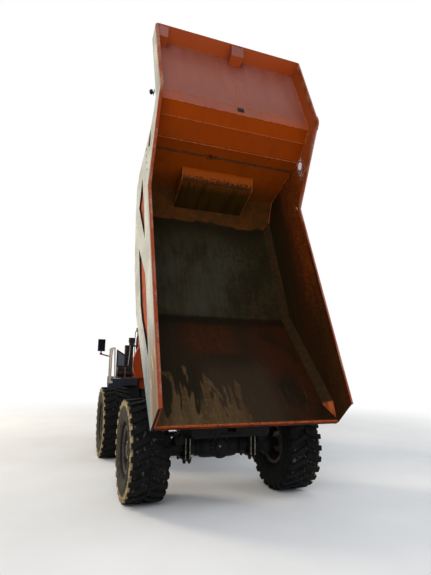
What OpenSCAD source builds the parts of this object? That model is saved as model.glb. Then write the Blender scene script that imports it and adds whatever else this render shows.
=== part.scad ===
// Articulated dump truck with two axles, one wide tyre at each wheel and a canopied dump bed
// that stands raised. X runs forward, Y to the left and Z up, in millimetres.

/* [Stance] */
// Distance between the axles
wheelbase = 3300; // [3250:10:3400]
// Distance between the middles of the left and right tyres
track = 2455; // [2440:5:2500]
// From the rear axle to the upright steering pivot
pivot_x = 2050; // [2000:10:2080]
// From the rear axle to the front face of the bumper
nose_x = 6200; // [6150:10:6300]

/* [Wheels] */
// Diameter over the lugs
tyre_d = 1490; // [1460:5:1500]
// Width of the casing
tyre_w = 570; // [540:5:590]
// Diameter of the bead seat
seat_d = 610; // [590:5:640]
// Width between the rim flanges
seat_w = 404; // [380:2:420]
// Height of the lugs over the casing
lug_h = 36; // [25:1:45]
// Lugs along one shoulder
lug_n = 26; // [20:1:30]
// Width of one lug
lug_w = 74; // [60:1:80]
// Radius of the axle spindle
spindle_r = 80; // [70:1:90]

/* [Dump bed] */
// Angle that the bed is raised by
bed_up = 69.16; // [60:0.01:70]
// Width over the side walls
bed_w = 2764; // [2740:2:2780]
// Thickness of a side wall with its outer frame
side_t = 44; // [40:1:60]
// Thickness of the side, front and canopy sheets
sheet_t = 12; // [8:1:14]
// Thickness of the floor plate
floor_t = 16; // [12:1:20]
// Depth of the load space below the rim
bed_h = 1164; // [1140:2:1180]
// From the rim's rear corner forward to where the rim starts to rise
rim_len = 3498; // [3400:10:3550]
// From the rim's rear corner forward to the foot of the front wall
wall_s = 4301; // [4290:1:4320]
// Height of the canopy's edge over the rim
canopy_h = 1062; // [1050:2:1080]
// From the rim's rear corner forward to the canopy's front edge
canopy_s = 6150; // [6100:10:6250]
// From the rim's rear corner forward to the crease between tail and floor
crease_s = 1842; // [1800:2:1900]
// How far the tail's lip stands behind the rim's corner
lip_back = 149; // [120:1:180]
// How far the tail's lip lies below the rim
lip_drop = 395; // [380:1:410]
// Depth of the rim's cap
cap_h = 60; // [50:1:70]
// Width of the sloping strip between floor and side
chamfer_w = 110; // [90:1:130]

/* [Bed hinge and hoist] */
// Bed hinge ahead of the rear axle
hinge_x = -411; // [-430:1:-400]
// Bed hinge over the ground
hinge_z = 1603; // [1600:1:1640]
// Bed hinge ahead of the rim's rear corner, along the rim
hinge_s = 550; // [530:1:570]
// Bed hinge below the rim
hinge_n = 1201; // [1200:1:1230]
// Radius of the bed's hinge pins
hinge_r = 45; // [40:1:50]
// Foot of the hoist cylinders ahead of the rear axle
foot_x = 1300; // [1280:5:1330]
// Foot of the hoist cylinders over the ground
foot_z = 735; // [725:5:760]
// Hoist cylinders from the middle
hoist_y = 720; // [710:1:730]
// Hoist's upper pin ahead of the rim's rear corner
eye_s = 1293; // [1280:1:1310]
// Hoist's upper pin below the rim
eye_n = 1097; // [1090:1:1110]
// Outer radius of a hoist barrel
hoist_r = 85; // [75:1:90]
// Radius of a hoist rod
hoist_rod_r = 50; // [45:1:55]

/* [Chassis] */
// Middle of the rear rails from the middle of the truck
rear_rail_y = 550; // [540:1:560]
// Top of the rear rails over the ground
rear_rail_z = 1250; // [1230:5:1260]
// Middle of the front rails from the middle of the truck
front_rail_y = 425; // [410:1:440]
// Top of the front rails over the ground
front_rail_z = 1120; // [1110:5:1130]
// Width of a rail
rail_w = 100; // [90:2:106]
// Radius of the axle tubes
axle_r = 130; // [120:1:135]
// Height of the steering cylinders over the ground
steer_z = 900; // [895:1:910]
// Rear pins of the steering cylinders behind the pivot
steer_back = 1000; // [980:5:1020]
// Rear pins of the steering cylinders from the middle
steer_rear_y = 260; // [255:1:270]
// Front pins of the steering cylinders from the middle
steer_front_y = 330; // [320:1:340]
// Front pins of the steering cylinders ahead of the pivot
steer_ahead = 60; // [50:1:70]

/* [Cab and front unit] */
// Rear wall of the cab ahead of the rear axle
cab_x = 4250; // [4230:5:4280]
// Length of the cab at its foot
cab_l = 1000; // [990:5:1010]
// Width over the cab's rear corners
cab_w = 1090; // [1070:5:1100]
// How much narrower each side of the cab is at its front
cab_narrow = 125; // [110:5:130]
// Underside of the cab's roof cap
cab_z = 3240; // [3200:5:3260]
// Underside of the cab
cab_foot = 1400; // [1390:5:1430]
// Thickness of the cab's walls and doors
cab_t = 50; // [40:1:60]
// Top of the decks beside the cab
deck_z = 1667; // [1650:1:1680]
// Outer edge of the decks from the middle
deck_y = 1290; // [1280:1:1300]
// Height of the hood at its rear
hood_z = 2150; // [2100:5:2200]
// Thickness of the hood's shell
hood_t = 16; // [12:1:24]

/* [Hidden] */
$fn = 48;

// Clearances: a pin in its bore, a piece beside one that moves
fit = 0.05;
gap = 5;
seat = 0.3;

// The rearmost point is the raised rim's corner, the foremost the bumper
bed_cos = cos(bed_up);
bed_sin = sin(bed_up);
rim_x = hinge_x - hinge_s * bed_cos - hinge_n * bed_sin;
rim_z = hinge_z - hinge_s * bed_sin + hinge_n * bed_cos;
mid_x = (nose_x + rim_x) / 2;
axle_z = tyre_d / 2;
guard_y = [track / 2 - tyre_w / 2, deck_y];
guard_r = tyre_d / 2 + 70;
guard_t = 12;

// Bed profile in the bed's own frame: s forward along the rim, n up from the rim
bed_y = bed_w / 2;
room_y = bed_y - side_t;
wall_top = [wall_s + 29, 280];
floor_end = [wall_s - 428, -bed_h];
wall_foot = [wall_s, -bed_h + 345];
lip = [-lip_back, -lip_drop];
crease = [crease_s, -bed_h];
kink = [wall_s + 225, canopy_h];
canopy_n = canopy_h - 252;
PATH = [lip, crease, floor_end, wall_foot, wall_top,
        [wall_s + 159, 606], [wall_s + 299, canopy_n - 10],
        [wall_s + 489, canopy_n + 5], [canopy_s - 30, canopy_n - 20], [canopy_s, canopy_h]];
RIM = [[0, 0], [rim_len, 0], kink, [canopy_s, canopy_h]];
tail_slope = atan2(crease[1] - lip[1], crease[0] - lip[0]);
tail_len = norm(crease - lip);
lip_gusset = 290;

// Outline of the outer side frame, from its rear corner forward and round
frame_out = 60;
SIDE_LOW = [[lip[0], lip[1] - 130], [crease_s, -bed_h - 70], [wall_s - 1600, -bed_h - 100],
            [wall_s - 550, -bed_h + 130], [wall_s - 100, -bed_h + 310],
            [wall_s + 30, -bed_h + 560]];

// Hoist and steering geometry at rest
hoist_foot = [foot_x, foot_z];
hoist_eye = [rim_x + eye_s * bed_cos + eye_n * bed_sin, rim_z + eye_s * bed_sin - eye_n * bed_cos];
hoist_len = norm(hoist_eye - hoist_foot);
hoist_barrel_len = 1140;
hoist_rod_len = 1215;
hoist_pin_r = 35;
hoist_eye_r = 30;
hoist_eye_h = hoist_rod_r;
steer_rear = [pivot_x - steer_back, steer_rear_y];
steer_front = [pivot_x + steer_ahead, steer_front_y];
steer_len = norm(steer_front - steer_rear);
steer_barrel_len = 600;
steer_rod_len = 770;
steer_pin_r = 25;
steer_r = 55;
steer_rod_r = 28;
steer_eye_h = 30;
steer_ear_t = 15;
pivot_r = 60;
hitch_low = 785;
hitch_high = 1105;
hitch_t = 75;

cab_y = cab_w / 2;
cab_front = cab_x + cab_l;
cab_turn = atan(cab_narrow / cab_l);
function cab_side(x) = cab_y - (x - cab_x) * tan(cab_turn);
hood_x = cab_front + 10;
hood_y = 600;
deck_low = deck_z - 177;
function deck_edge(x) = deck_y - max(0, x - cab_x + 60) * 0.119;
hood_l = nose_x - 110 - hood_x;
door_x = [150, 860];
door_z = [deck_z + 38, cab_z - 145];
window_z = [deck_z + 680, cab_z - 210];
door_hinges = [door_z[0] + 160, door_z[1] - 160];
door_pin = [door_x[1] + 2, 17];
hood_pin = [hood_x + 20, hood_z + 20];

// Points of a path moved to the right of its run by t, with mitred corners
function unit(v) = v / norm(v);
function run(p, i) = unit(p[i + 1] - p[i]);
function right(v) = [v[1], -v[0]];
function shifted(p, i, t) =
    let (a = right(run(p, max(i - 1, 0))),
         b = right(run(p, min(i, len(p) - 2))),
         m = unit(a + b))
    p[i] + m * t / (m * a);
// Outline of the plate that follows points i0 to i1 of a path, from depth t0 to t1
function band(p, i0, i1, t0, t1) =
    concat([for (i = [i0:i1]) shifted(p, i, t0)], [for (i = [i1:-1:i0]) shifted(p, i, t1)]);
// Underside of the tail plate at s
function tail_under(s) = lip[1] + (s - lip[0]) * tan(tail_slope) - (floor_t + seat) / cos(tail_slope);

module place() translate([-mid_x, 0, 0]) children();
module in_bed() place() translate([rim_x, 0, rim_z]) rotate([0, -bed_up, 0]) children();
module pair() {
    children();
    mirror([0, 1, 0]) children();
}
module plate_y(pts, y0, y1) translate([0, y1, 0]) rotate([90, 0, 0]) linear_extrude(y1 - y0) polygon(pts);
module plate_x(pts, x0, x1) translate([x0, 0, 0]) rotate([90, 0, 90]) linear_extrude(x1 - x0) polygon(pts);
module plate_z(pts, z0, z1) translate([0, 0, z0]) linear_extrude(z1 - z0) polygon(pts);
module block(x, y, z) translate([x[0], y[0], z[0]]) cube([x[1] - x[0], y[1] - y[0], z[1] - z[0]]);
module rod_x(y, z, r, x0, x1) translate([x0, y, z]) rotate([0, 90, 0]) cylinder(r = r, h = x1 - x0);
module rod_y(x, z, r, y0, y1) translate([x, y1, z]) rotate([90, 0, 0]) cylinder(r = r, h = y1 - y0);
module rod_z(x, y, r, z0, z1) translate([x, y, z0]) cylinder(r = r, h = z1 - z0);
module soft_rect(x, y, r) {
    translate([x[0] + r, y[0]]) square([x[1] - x[0] - 2 * r, y[1] - y[0]]);
    translate([x[0], y[0] + r]) square([x[1] - x[0], y[1] - y[0] - 2 * r]);
    for (px = [x[0] + r, x[1] - r], py = [y[0] + r, y[1] - r]) translate([px, py]) circle(r);
}
// A round tube along a path of points, with a ball at each bend
module tube(pts, r) {
    for (i = [0:len(pts) - 2]) {
        v = pts[i + 1] - pts[i];
        translate(pts[i]) rotate([0, acos(v[2] / norm(v)), atan2(v[1], v[0])]) cylinder(r = r, h = norm(v));
    }
    for (i = [1:len(pts) - 2]) translate(pts[i]) sphere(r + 3);
}

// Rear unit

module hinge_ears() {
    for (y = [rear_rail_y - 75, rear_rail_y + 30]) {
        plate_y([[hinge_x - 230, rear_rail_z - 260], [hinge_x - 230, rear_rail_z],
                 [hinge_x - 100, hinge_z], [hinge_x + 100, hinge_z],
                 [hinge_x + 330, rear_rail_z], [hinge_x + 330, rear_rail_z - 260]], y, y + 45);
        rod_y(hinge_x, hinge_z, 100, y, y + 45);
    }
    rod_y(hinge_x, hinge_z, hinge_r, rear_rail_y - 75, rear_rail_y + 75);
}

module steer_ears(p, toward) {
    for (z = [steer_z - steer_eye_h - gap - steer_ear_t, steer_z + steer_eye_h + gap])
        translate([0, 0, z]) linear_extrude(steer_ear_t) {
            translate(p) circle(50);
            polygon(toward);
        }
}

// Rails run straight over the axle, then close in on the hitch
module rear_chassis() color("#2a2a2c") place() {
    rail_low = axle_z + axle_r + 80;
    neck_x = [950, pivot_x - 350];
    neck_y = 150;
    tail_x = hinge_x - 230;
    bend_x = 300;
    hitch_z = [hitch_low - gap - hitch_t, hitch_high + gap + hitch_t];
    rail_y = [rear_rail_y - rail_w / 2, rear_rail_y + rail_w / 2];
    pair() {
        block([tail_x, bend_x], rail_y, [rail_low, rear_rail_z]);
        intersection() {
            plate_z([[bend_x, rail_y[0]], [bend_x, rail_y[1]], [neck_x[0], neck_y], [neck_x[0], neck_y - 40]],
                    hitch_z[0], rear_rail_z);
            plate_y([[bend_x, rail_low], [bend_x, rear_rail_z], [neck_x[0] - 200, rear_rail_z],
                     [neck_x[0], hitch_z[1]], [neck_x[0], hitch_z[0]], [neck_x[0] - 300, hitch_z[0]]],
                    0, rail_y[1]);
        }
        hinge_ears();
        block(neck_x, [neck_y - 25, neck_y], hitch_z);
        steer_ears(steer_rear, [[steer_rear[0] - 90, neck_y - 10], steer_rear + [-48, 12],
                                steer_rear + [48, 12], [steer_rear[0] + 55, neck_y - 10]]);
        rod_z(steer_rear[0], steer_rear[1], steer_pin_r,
              steer_z - steer_eye_h - gap - 10, steer_z + steer_eye_h + gap + 10);
        rod_y(foot_x, foot_z, 48, neck_y - 10, hoist_y - 60 - gap);
        rod_y(foot_x, foot_z, hoist_pin_r, hoist_y - 60 - gap, hoist_y + 60 + gap);
        rod_y(foot_x, foot_z, 48, hoist_y + 60 + gap, hoist_y + 60 + gap + 15);
        block([bend_x - 160, bend_x], [rear_rail_y - 40, rear_rail_y + 40],
              [rear_rail_z, hinge_z + hinge_n - bed_h - 216 - gap]);
    }
    for (z = [hitch_z[0], hitch_high + gap])
        translate([0, 0, z]) linear_extrude(hitch_t) {
            polygon([[neck_x[0] - 200, neck_y + 60], [neck_x[0], neck_y], [pivot_x, neck_y],
                     [pivot_x, -neck_y], [neck_x[0], -neck_y], [neck_x[0] - 200, -neck_y - 60]]);
            translate([pivot_x, 0]) circle(neck_y);
        }
    block([neck_x[1] - 25, neck_x[1]], [-neck_y, neck_y], [hitch_low - 10, hitch_high + 10]);
    rod_z(pivot_x, 0, pivot_r, hitch_z[0] - 25, hitch_z[1] + 25);
    difference() {
        block([tail_x, tail_x + 150], [-rear_rail_y, rear_rail_y], [axle_z + axle_r + 85, rear_rail_z - 50]);
        block([tail_x - 1, tail_x + 90], [-70, 70], [1040, 1120]);
        rod_z(tail_x + 45, 0, 25, 900, 1300);
    }
    block([bend_x - 60, bend_x + 40], [-rear_rail_y, rear_rail_y], [rail_low + 60, rear_rail_z - 20]);
}

module axle_parts(x, rail_y, rail_low) {
    pair() {
        rod_y(x, axle_z, axle_r, 0, track / 2 - 347);
        rod_y(x, axle_z, 200, track / 2 - 372, track / 2 - 345);
        rod_y(x, axle_z, spindle_r, track / 2 - 347, track / 2 + 95);
        block([x - 150, x + 150], [rail_y - 70, rail_y + 70], [axle_z + axle_r - 30, rail_low]);
        block([x - 200, x + 200], [rail_y - 70, rail_y + 70], [axle_z - axle_r - 32, axle_z - axle_r + 5]);
        for (sx = [-168, 168], sy = [-40, 40])
            rod_z(x + sx, rail_y + sy, 16, axle_z - axle_r - 75, rail_low);
        for (sx = [-168, 168], sy = [-40, 40])
            rod_z(x + sx, rail_y + sy, 27, axle_z - axle_r - 58, axle_z - axle_r - 30);
    }
    translate([x, 0, axle_z]) {
        rotate([90, 0, 0]) rotate_extrude($fn = 60)
            polygon([[0, -350], [axle_r, -350], [170, -290], [180, -230], [180, 230],
                     [170, 290], [axle_r, 350], [0, 350]]);
        rotate([0, -90, 0]) rotate_extrude($fn = 60)
            polygon([[0, -240], [95, -240], [105, -215], [160, -185],
                     [160, 185], [105, 215], [95, 240], [0, 240]]);
    }
}

module rear_axle() color("#232325") place() axle_parts(0, rear_rail_y, axle_z + axle_r + 80);

module rear_lamps() color("#7a1410") place() pair() {
    x = hinge_x - 230;
    y = rear_rail_y + 75 + seat;
    block([x, x + 12], [y, y + 165], [1140, 1200]);
    block([x - 45, x], [y + 5, y + 155], [1135, 1205]);
}

// Tyres and rims, with the axle along local Z and the outer side up

module at_wheel(x, side) place()
    translate([x, side * track / 2, axle_z]) rotate([-90 * side, 0, 0]) children();

module casing_profile() {
    flank_r = tyre_w * 0.355;
    flank_y = tyre_d / 2 - 220;
    shoulder_r = 75;
    crown = tyre_d / 2 - lug_h;
    bead = seat_d / 2;
    intersection() {
        translate([bead, -tyre_w / 2]) square([crown - bead, tyre_w]);
        union() {
            translate([bead, -seat_w / 2]) square([flank_y - bead + 60, seat_w]);
            for (s = [-1, 1]) {
                translate([flank_y, s * (tyre_w / 2 - flank_r)]) circle(flank_r);
                translate([crown - shoulder_r, s * (tyre_w / 2 - shoulder_r - 5)]) circle(shoulder_r);
            }
            translate([flank_y - 40, -tyre_w / 2 + shoulder_r + 5])
                square([crown - flank_y + 40, tyre_w - 2 * shoulder_r - 10]);
        }
    }
}

module tyre(side) color("#1d1d1f") {
    crown = tyre_d / 2 - lug_h;
    difference() {
        rotate_extrude($fn = 96) casing_profile();
        for (z = [-1, 1]) translate([0, 0, z * (seat_w / 2 + 50)])
            cylinder(r = seat_d / 2 + 33, h = 100, center = true);
    }
    intersection() {
        rotate_extrude($fn = 96) polygon([
            [crown - 70, -tyre_w / 2 + 2], [crown - 45, -tyre_w / 2], [crown, -tyre_w / 2],
            [tyre_d / 2, -tyre_w / 2 + 28], [tyre_d / 2, tyre_w / 2 - 28],
            [crown, tyre_w / 2], [crown - 45, tyre_w / 2], [crown - 70, tyre_w / 2 - 2]]);
        for (half = [-1, 1], i = [0:lug_n - 1])
            rotate([0, 0, (i + (half > 0 ? 0 : 0.5)) * 360 / lug_n])
                translate([crown - 80, 0, 0]) rotate([90, 0, 90]) linear_extrude(lug_h + 100)
                    polygon([[-lug_w / 2, half * tyre_w], [-lug_w / 2, half * tyre_w * 0.36],
                             [side * 90 - lug_w * 0.4, half * 14], [side * 90 + lug_w * 0.4, half * 14],
                             [lug_w / 2, half * tyre_w * 0.36], [lug_w / 2, half * tyre_w]]);
    }
}

module rim() color("#3a3533") {
    seat = seat_d / 2;
    half = seat_w / 2;
    disc = 45;
    rotate_extrude($fn = 72) polygon([
        [spindle_r + fit, -150], [120, -150], [165, -120], [165, disc - 30], [240, disc - 18],
        [seat - 15, disc - 25], [seat - 15, -half - 14], [seat + 33, -half - 14], [seat + 33, -half],
        [seat, -half], [seat, half], [seat + 33, half], [seat + 33, half + 14], [seat - 15, half + 14],
        [seat - 15, disc + 20], [240, disc + 8], [165, disc + 8], [160, half - 30], [135, half],
        [0, half], [0, 105], [spindle_r + fit, 105]]);
}

// Dump bed, in its own frame

module chamfer_strip(s0, s1)
    plate_x([[room_y, -8], [room_y, chamfer_w], [room_y - chamfer_w - 8, -8]], s0, s1);

module bed_floor() color("#5a3a2a") in_bed() {
    plate_y(band(PATH, 0, 3, 0, floor_t), -room_y, room_y);
    intersection() {
        plate_y(concat([for (i = [0:3]) PATH[i]], [[wall_s, 0], [0, 0]]), -room_y, room_y);
        pair() {
            translate([0, 0, -bed_h]) chamfer_strip(crease_s - 150, wall_s - 100);
            translate([crease_s, 0, -bed_h]) rotate([0, -tail_slope, 0]) hull() {
                chamfer_strip(lip_gusset - tail_len, 150);
                translate([lip_gusset - tail_len - 230, room_y - 1, -8]) cube([1, 1, 8]);
            }
        }
    }
    // The bar along the tail's lip
    translate([lip[0], 0, lip[1]]) rotate([0, -tail_slope, 0]) block([0, 20], [-room_y, room_y], [-44, 0]);
}

function side_sheet() = concat(RIM, [shifted(PATH, 9, sheet_t)],
    [for (i = [8:-1:4]) shifted(PATH, i, sheet_t)], [for (i = [3:-1:0]) shifted(PATH, i, floor_t)]);

// A hole for a lashing, through the right wall
module lashing_hole() rod_y(3560, -95, 42, -bed_y - 1, -room_y + 1);

module bed_sides() color("#8a3a1c") in_bed() difference() {
    pair() difference() {
        plate_y(side_sheet(), room_y, room_y + sheet_t);
        plate_y(band(RIM, 0, 3, -1, cap_h), room_y - 1, room_y + sheet_t + 1);
    }
    lashing_hole();
}

module bed_rims() color("#b5482a") in_bed() pair() intersection() {
    plate_y(band(RIM, 0, 3, 0, cap_h), room_y, bed_y);
    for (i = [0:2]) {
        v = RIM[i + 1] - RIM[i];
        translate([RIM[i][0], 0, RIM[i][1]]) rotate([0, -atan2(v[1], v[0]), 0])
            plate_x([[room_y, -cap_h - 60], [room_y, 0], [room_y + side_t * 0.45, 0], [bed_y, -side_t * 0.35],
                     [bed_y, -cap_h - 60]], -90, norm(v) + 90);
    }
}

module side_frames() color("#d8d3c0") in_bed() difference() {
    pair() side_frame();
    lashing_hole();
}
module side_frame() difference() {
    plate_y(concat([for (i = [0:3]) shifted(RIM, i, cap_h)],
                   [[canopy_s - 30, canopy_n - 30]],
                   [for (i = [7:-1:4]) shifted(PATH, i, frame_out)],
                   [for (i = [len(SIDE_LOW) - 1:-1:0]) SIDE_LOW[i]]), room_y + sheet_t, bed_y);
    plate_y([[790, -472], [1530, -797], [1810, -872], [2880, -858], [2136, -470], [1790, -436]],
            room_y + sheet_t - 1, bed_y + 1);
    plate_y([[wall_s - 1574, -406], [wall_s - 681, -735], [wall_s - 281, -397], [wall_s - 1041, -350]],
            room_y + sheet_t - 1, bed_y + 1);
    plate_y([[wall_s + 122, 328], [wall_s - 76, 110], [wall_s - 181, 215], [wall_s - 66, 300]],
            room_y + sheet_t - 1, bed_y + 1);
}

module bed_front() color("#6b2800") in_bed() {
    across = unit(shifted(PATH, 3, 1) - wall_foot);
    up = run(PATH, 3);
    difference() {
        plate_y(band(PATH, 3, 6, 0, sheet_t), -room_y, room_y);
        plate_y([wall_foot - across - 5 * up, wall_foot + 30 * across - 5 * up,
                 wall_foot + 30 * across + seat * up, wall_foot - across + seat * up], -room_y - 1, room_y + 1);
    }
    plate_y([[wall_s + 14, -262], [wall_s - 196, -391], [wall_s - 261, wall_foot[1] - 209],
             wall_foot + [0, 1]], -680, 680);
}

module bed_canopy() color("#87514b") in_bed() {
    plate_y(band(PATH, 6, 9, 0, sheet_t), -room_y, room_y);
    // Boxes against the front lip: right side and left side
    for (b = [[-222, 8], [room_y - 175, room_y - 15]])
        plate_y([[canopy_s - 200, canopy_n - 22], [canopy_s - 200, canopy_n + 175],
                 PATH[9] - [32, 12], PATH[9] - [0, 14], PATH[8] + [4, -4]], b[0], b[1]);
}

module headboard_ribs() color("#b5482a") in_bed() {
    wall = [for (i = [3:8]) PATH[i]];
    outer = room_y - 98;
    for (k = [-2:2])
        plate_y(band(wall, 0, 5, sheet_t, frame_out), k * outer / 2 - 35, k * outer / 2 + 35);
    for (s = [0, 1])
        plate_y(band([PATH[4] - [0, 300 + s * 500], PATH[4] - [0, 220 + s * 500]], 0, 1, sheet_t, frame_out),
                -outer, outer);
}

module bed_beams() color("#8a3a1c") in_bed() {
    beam_y = [rear_rail_y - 25, rear_rail_y + 25];
    pair() {
        difference() {
            union() {
                plate_y([[60, tail_under(60)], shifted(PATH, 1, floor_t + seat),
                         [3800, -bed_h - floor_t - seat], [3800, -bed_h - 130],
                         [2200, -bed_h - 216], [1100, -bed_h - 216],
                         [hinge_s + 90, -hinge_n - 80], [hinge_s - 100, -hinge_n]], beam_y[0], beam_y[1]);
                rod_y(hinge_s, -hinge_n, 95, beam_y[0], beam_y[1]);
            }
            rod_y(hinge_s, -hinge_n, hinge_r + fit, beam_y[0] - 1, beam_y[1] + 1);
        }
        plate_y([[1100, -bed_h - 216], [2200, -bed_h - 216], [2200, -bed_h - 196], [1100, -bed_h - 196]],
                rear_rail_y - 50, rear_rail_y + 50);
        for (y = [hoist_y - hoist_eye_h - gap - 20, hoist_y + hoist_eye_h + gap]) {
            plate_y([[eye_s - 170, tail_under(eye_s - 170)], [eye_s - 58, -eye_n - 15],
                     [eye_s + 58, -eye_n - 15], [eye_s + 190, tail_under(eye_s + 190)]], y, y + 20);
            rod_y(eye_s, -eye_n, 60, y, y + 20);
        }
        // The linkage is opened here: the pin shows at the lugs' outer faces only
        rod_y(eye_s, -eye_n, hoist_eye_r, hoist_y - hoist_eye_h - gap - 35, hoist_y - hoist_eye_h - gap - 20);
        rod_y(eye_s, -eye_n, hoist_eye_r, hoist_y + hoist_eye_h + gap + 20, hoist_y + hoist_eye_h + gap + 35);
    }
    for (s = [350, 850, 1350])
        translate([lip[0], 0, lip[1]]) rotate([0, -tail_slope, 0])
            block([s, s + 70], [-room_y, room_y], [-floor_t - 70, -floor_t - seat]);
    for (s = [2000, 2500, 3000, 3500])
        block([s, s + 70], [-room_y, room_y], [-bed_h - floor_t - 70, -bed_h - floor_t - seat]);
}

// Cylinders: a barrel that swings on its pin and a rod that slides out of it

module barrel(length, r, bore, rod_r, pin_r, eye_r, eye_h) difference() {
    union() {
        rotate([90, 0, 0]) cylinder(r = eye_r, h = 2 * eye_h, center = true);
        rod_x(0, 0, pin_r + 3, eye_r - 15, eye_r + 15);
        rod_x(0, 0, r, eye_r + 15, length);
        rod_x(0, 0, r + 8, length - 60, length);
    }
    rotate([90, 0, 0]) cylinder(r = pin_r + fit, h = 2 * eye_h + 2, center = true);
    rod_x(0, 0, bore, eye_r + 25, length - 40);
    rod_x(0, 0, rod_r + fit, length - 41, length + 1);
}

module ram(length, rod_len, bore, rod_r, pin_r, eye_r, eye_h) difference() {
    union() {
        rod_x(0, 0, rod_r, length - rod_len, length);
        rod_x(0, 0, bore - fit, length - rod_len, length - rod_len + 50);
        translate([length, 0, 0]) rotate([90, 0, 0]) cylinder(r = eye_r, h = 2 * eye_h, center = true);
    }
    translate([length, 0, 0]) rotate([90, 0, 0]) cylinder(r = pin_r + fit, h = 2 * eye_h + 2, center = true);
}

module along_hoist(side) place() translate([hoist_foot[0], side * hoist_y, hoist_foot[1]])
    rotate([0, -atan2(hoist_eye[1] - hoist_foot[1], hoist_eye[0] - hoist_foot[0]), 0]) children();
module hoist_barrel(side) color("#2a2a2c") along_hoist(side)
    barrel(hoist_barrel_len, hoist_r, hoist_r - 15, hoist_rod_r, hoist_pin_r, 75, 60);
module hoist_rod(side) color("#c8c8cc") along_hoist(side)
    ram(hoist_len, hoist_rod_len, hoist_r - 15, hoist_rod_r, hoist_eye_r, 60, hoist_eye_h);

module along_steer(side) place() translate([steer_rear[0], side * steer_rear[1], steer_z])
    rotate([0, 0, side * atan2(steer_front[1] - steer_rear[1], steer_front[0] - steer_rear[0])])
    rotate([90, 0, 0]) children();
module steer_barrel(side) color("#2a2a2c") along_steer(side)
    barrel(steer_barrel_len, steer_r, steer_r - 13, steer_rod_r, steer_pin_r, 48, steer_eye_h);
module steer_rod(side) color("#c8c8cc") along_steer(side)
    ram(steer_len, steer_rod_len, steer_r - 13, steer_rod_r, steer_pin_r, 48, steer_eye_h);

// Front unit

module front_frame() color("#2a2a2c") place() {
    rail_x = [pivot_x + 450, nose_x - 120];
    rail_low = axle_z + axle_r + 45;
    difference() {
        union() {
            block([pivot_x, rail_x[0] + 60], [-140, 140], [hitch_low, hitch_high]);
            rod_z(pivot_x, 0, 140, hitch_low, hitch_high);
        }
        rod_z(pivot_x, 0, pivot_r + fit, hitch_low - 1, hitch_high + 1);
    }
    block([rail_x[0], rail_x[0] + 150], [-front_rail_y - rail_w / 2, front_rail_y + rail_w / 2],
          [hitch_low, hitch_high]);
    pair() {
        block(rail_x, [front_rail_y - rail_w / 2, front_rail_y + rail_w / 2], [rail_low, front_rail_z]);
        steer_ears(steer_front, [[pivot_x + 40, 130], [pivot_x + 230, 130],
                                 steer_front + [40, 30], steer_front + [-45, -20]]);
        for (x = [wheelbase + tyre_d / 2 + 15, cab_front - 35])
            plate_x([[front_rail_y, rail_low], [front_rail_y, front_rail_z - 10], [cab_y + 20, 1300],
                     [cab_y + 20, deck_low - seat], [deck_edge(x + 20) - 5, deck_low - seat],
                     [deck_edge(x + 20) - 5, 1400]], x, x + 20);
        for (x = [cab_x - 95, cab_x + 100, cab_front - 200])
            rod_z(x, front_rail_y, 45, front_rail_z, cab_foot);
        for (x = [cab_x, cab_x + 290])
            block([x, x + 80], [front_rail_y + rail_w / 2, 700], [960, 1080]);
    }
    for (x = [cab_x - 350, cab_front + 100, nose_x - 300])
        block([x, x + 90], [-front_rail_y, front_rail_y], [rail_low + 20, front_rail_z - 20]);
}

module front_axle() color("#232325") place() axle_parts(wheelbase, front_rail_y, axle_z + axle_r + 45);

module bumper() color("#2c2c2e") place() difference() {
    plate_z([[nose_x - 120, -1250], [nose_x - 120, 1250], [nose_x - 60, 1250],
             [nose_x, 1130], [nose_x, -1130], [nose_x - 60, -1250]], 640, 1060);
    block([nose_x - 95, nose_x + 1], [-90, 90], [790, 870]);
    rod_z(nose_x - 45, 0, 25, 600, 1100);
    for (s = [-1, 1]) block([nose_x - 80, nose_x + 1], [s * 900 - 160, s * 900 + 160], [840, 1000]);
}

module front_lamps() color("#e8e6dc") place() pair()
    block([nose_x - 80, nose_x - 12], [740, 1060], [840, 1000]);

// The engine as one block, and the radiator before it
module engine() color("#55585c") place() {
    // The block, and the radiator ahead of it
    radiator_x = hood_x + hood_l - 320;
    block([hood_x + 40, radiator_x - 20], [-440, 440], [front_rail_z, 1850]);
    block([radiator_x, radiator_x + 40], [-450, 450], [front_rail_z, 1780]);
}

function deck_outline(i) = [
    [cab_x - 370 + i, 900 + i], [cab_x - 370 + i, deck_y - i], [cab_x - 60, deck_y - i],
    [cab_front - 10 - i, deck_edge(cab_front - 10) - i], [cab_front - 10 - i, cab_side(cab_front) + 50 + i],
    [cab_x - 20 - i, cab_y + 53 + i], [cab_x - 20 - i, 590 + i],
    [cab_x - 315 + i, 590 + i], [cab_x - 315 + i, 900 + i]];
module decks() color("#23262c") place() pair() {
    edge_x = cab_x - 370;
    difference() {
        plate_z(deck_outline(0), deck_low, deck_z);
        plate_z(deck_outline(15), deck_low - 1, deck_z - 27);
    }
    intersection() {
        difference() {
            rod_y(wheelbase, axle_z, guard_r + guard_t, guard_y[0], guard_y[1]);
            rod_y(wheelbase, axle_z, guard_r, guard_y[0] - 1, guard_y[1] + 1);
        }
        block([edge_x, wheelbase + guard_r + 20], guard_y, [axle_z, deck_low + 1]);
    }
    block([edge_x, edge_x + guard_t], guard_y,
          [axle_z + sqrt(pow(guard_r, 2) - pow(edge_x - wheelbase, 2)), deck_low + 1]);
}

module ladders() color("#3a3a3c") place() pair() {
    y = [deck_edge(cab_front) - 165, deck_edge(cab_front) - 20];
    for (x = [cab_x + 480, cab_x + 945])
        block([x, x + 15], y, [480, deck_z - 27 - seat]);
    for (z = [480, 770, 1060, 1350])
        block([cab_x + 480, cab_x + 960], y, [z, z + 30]);
}

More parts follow.
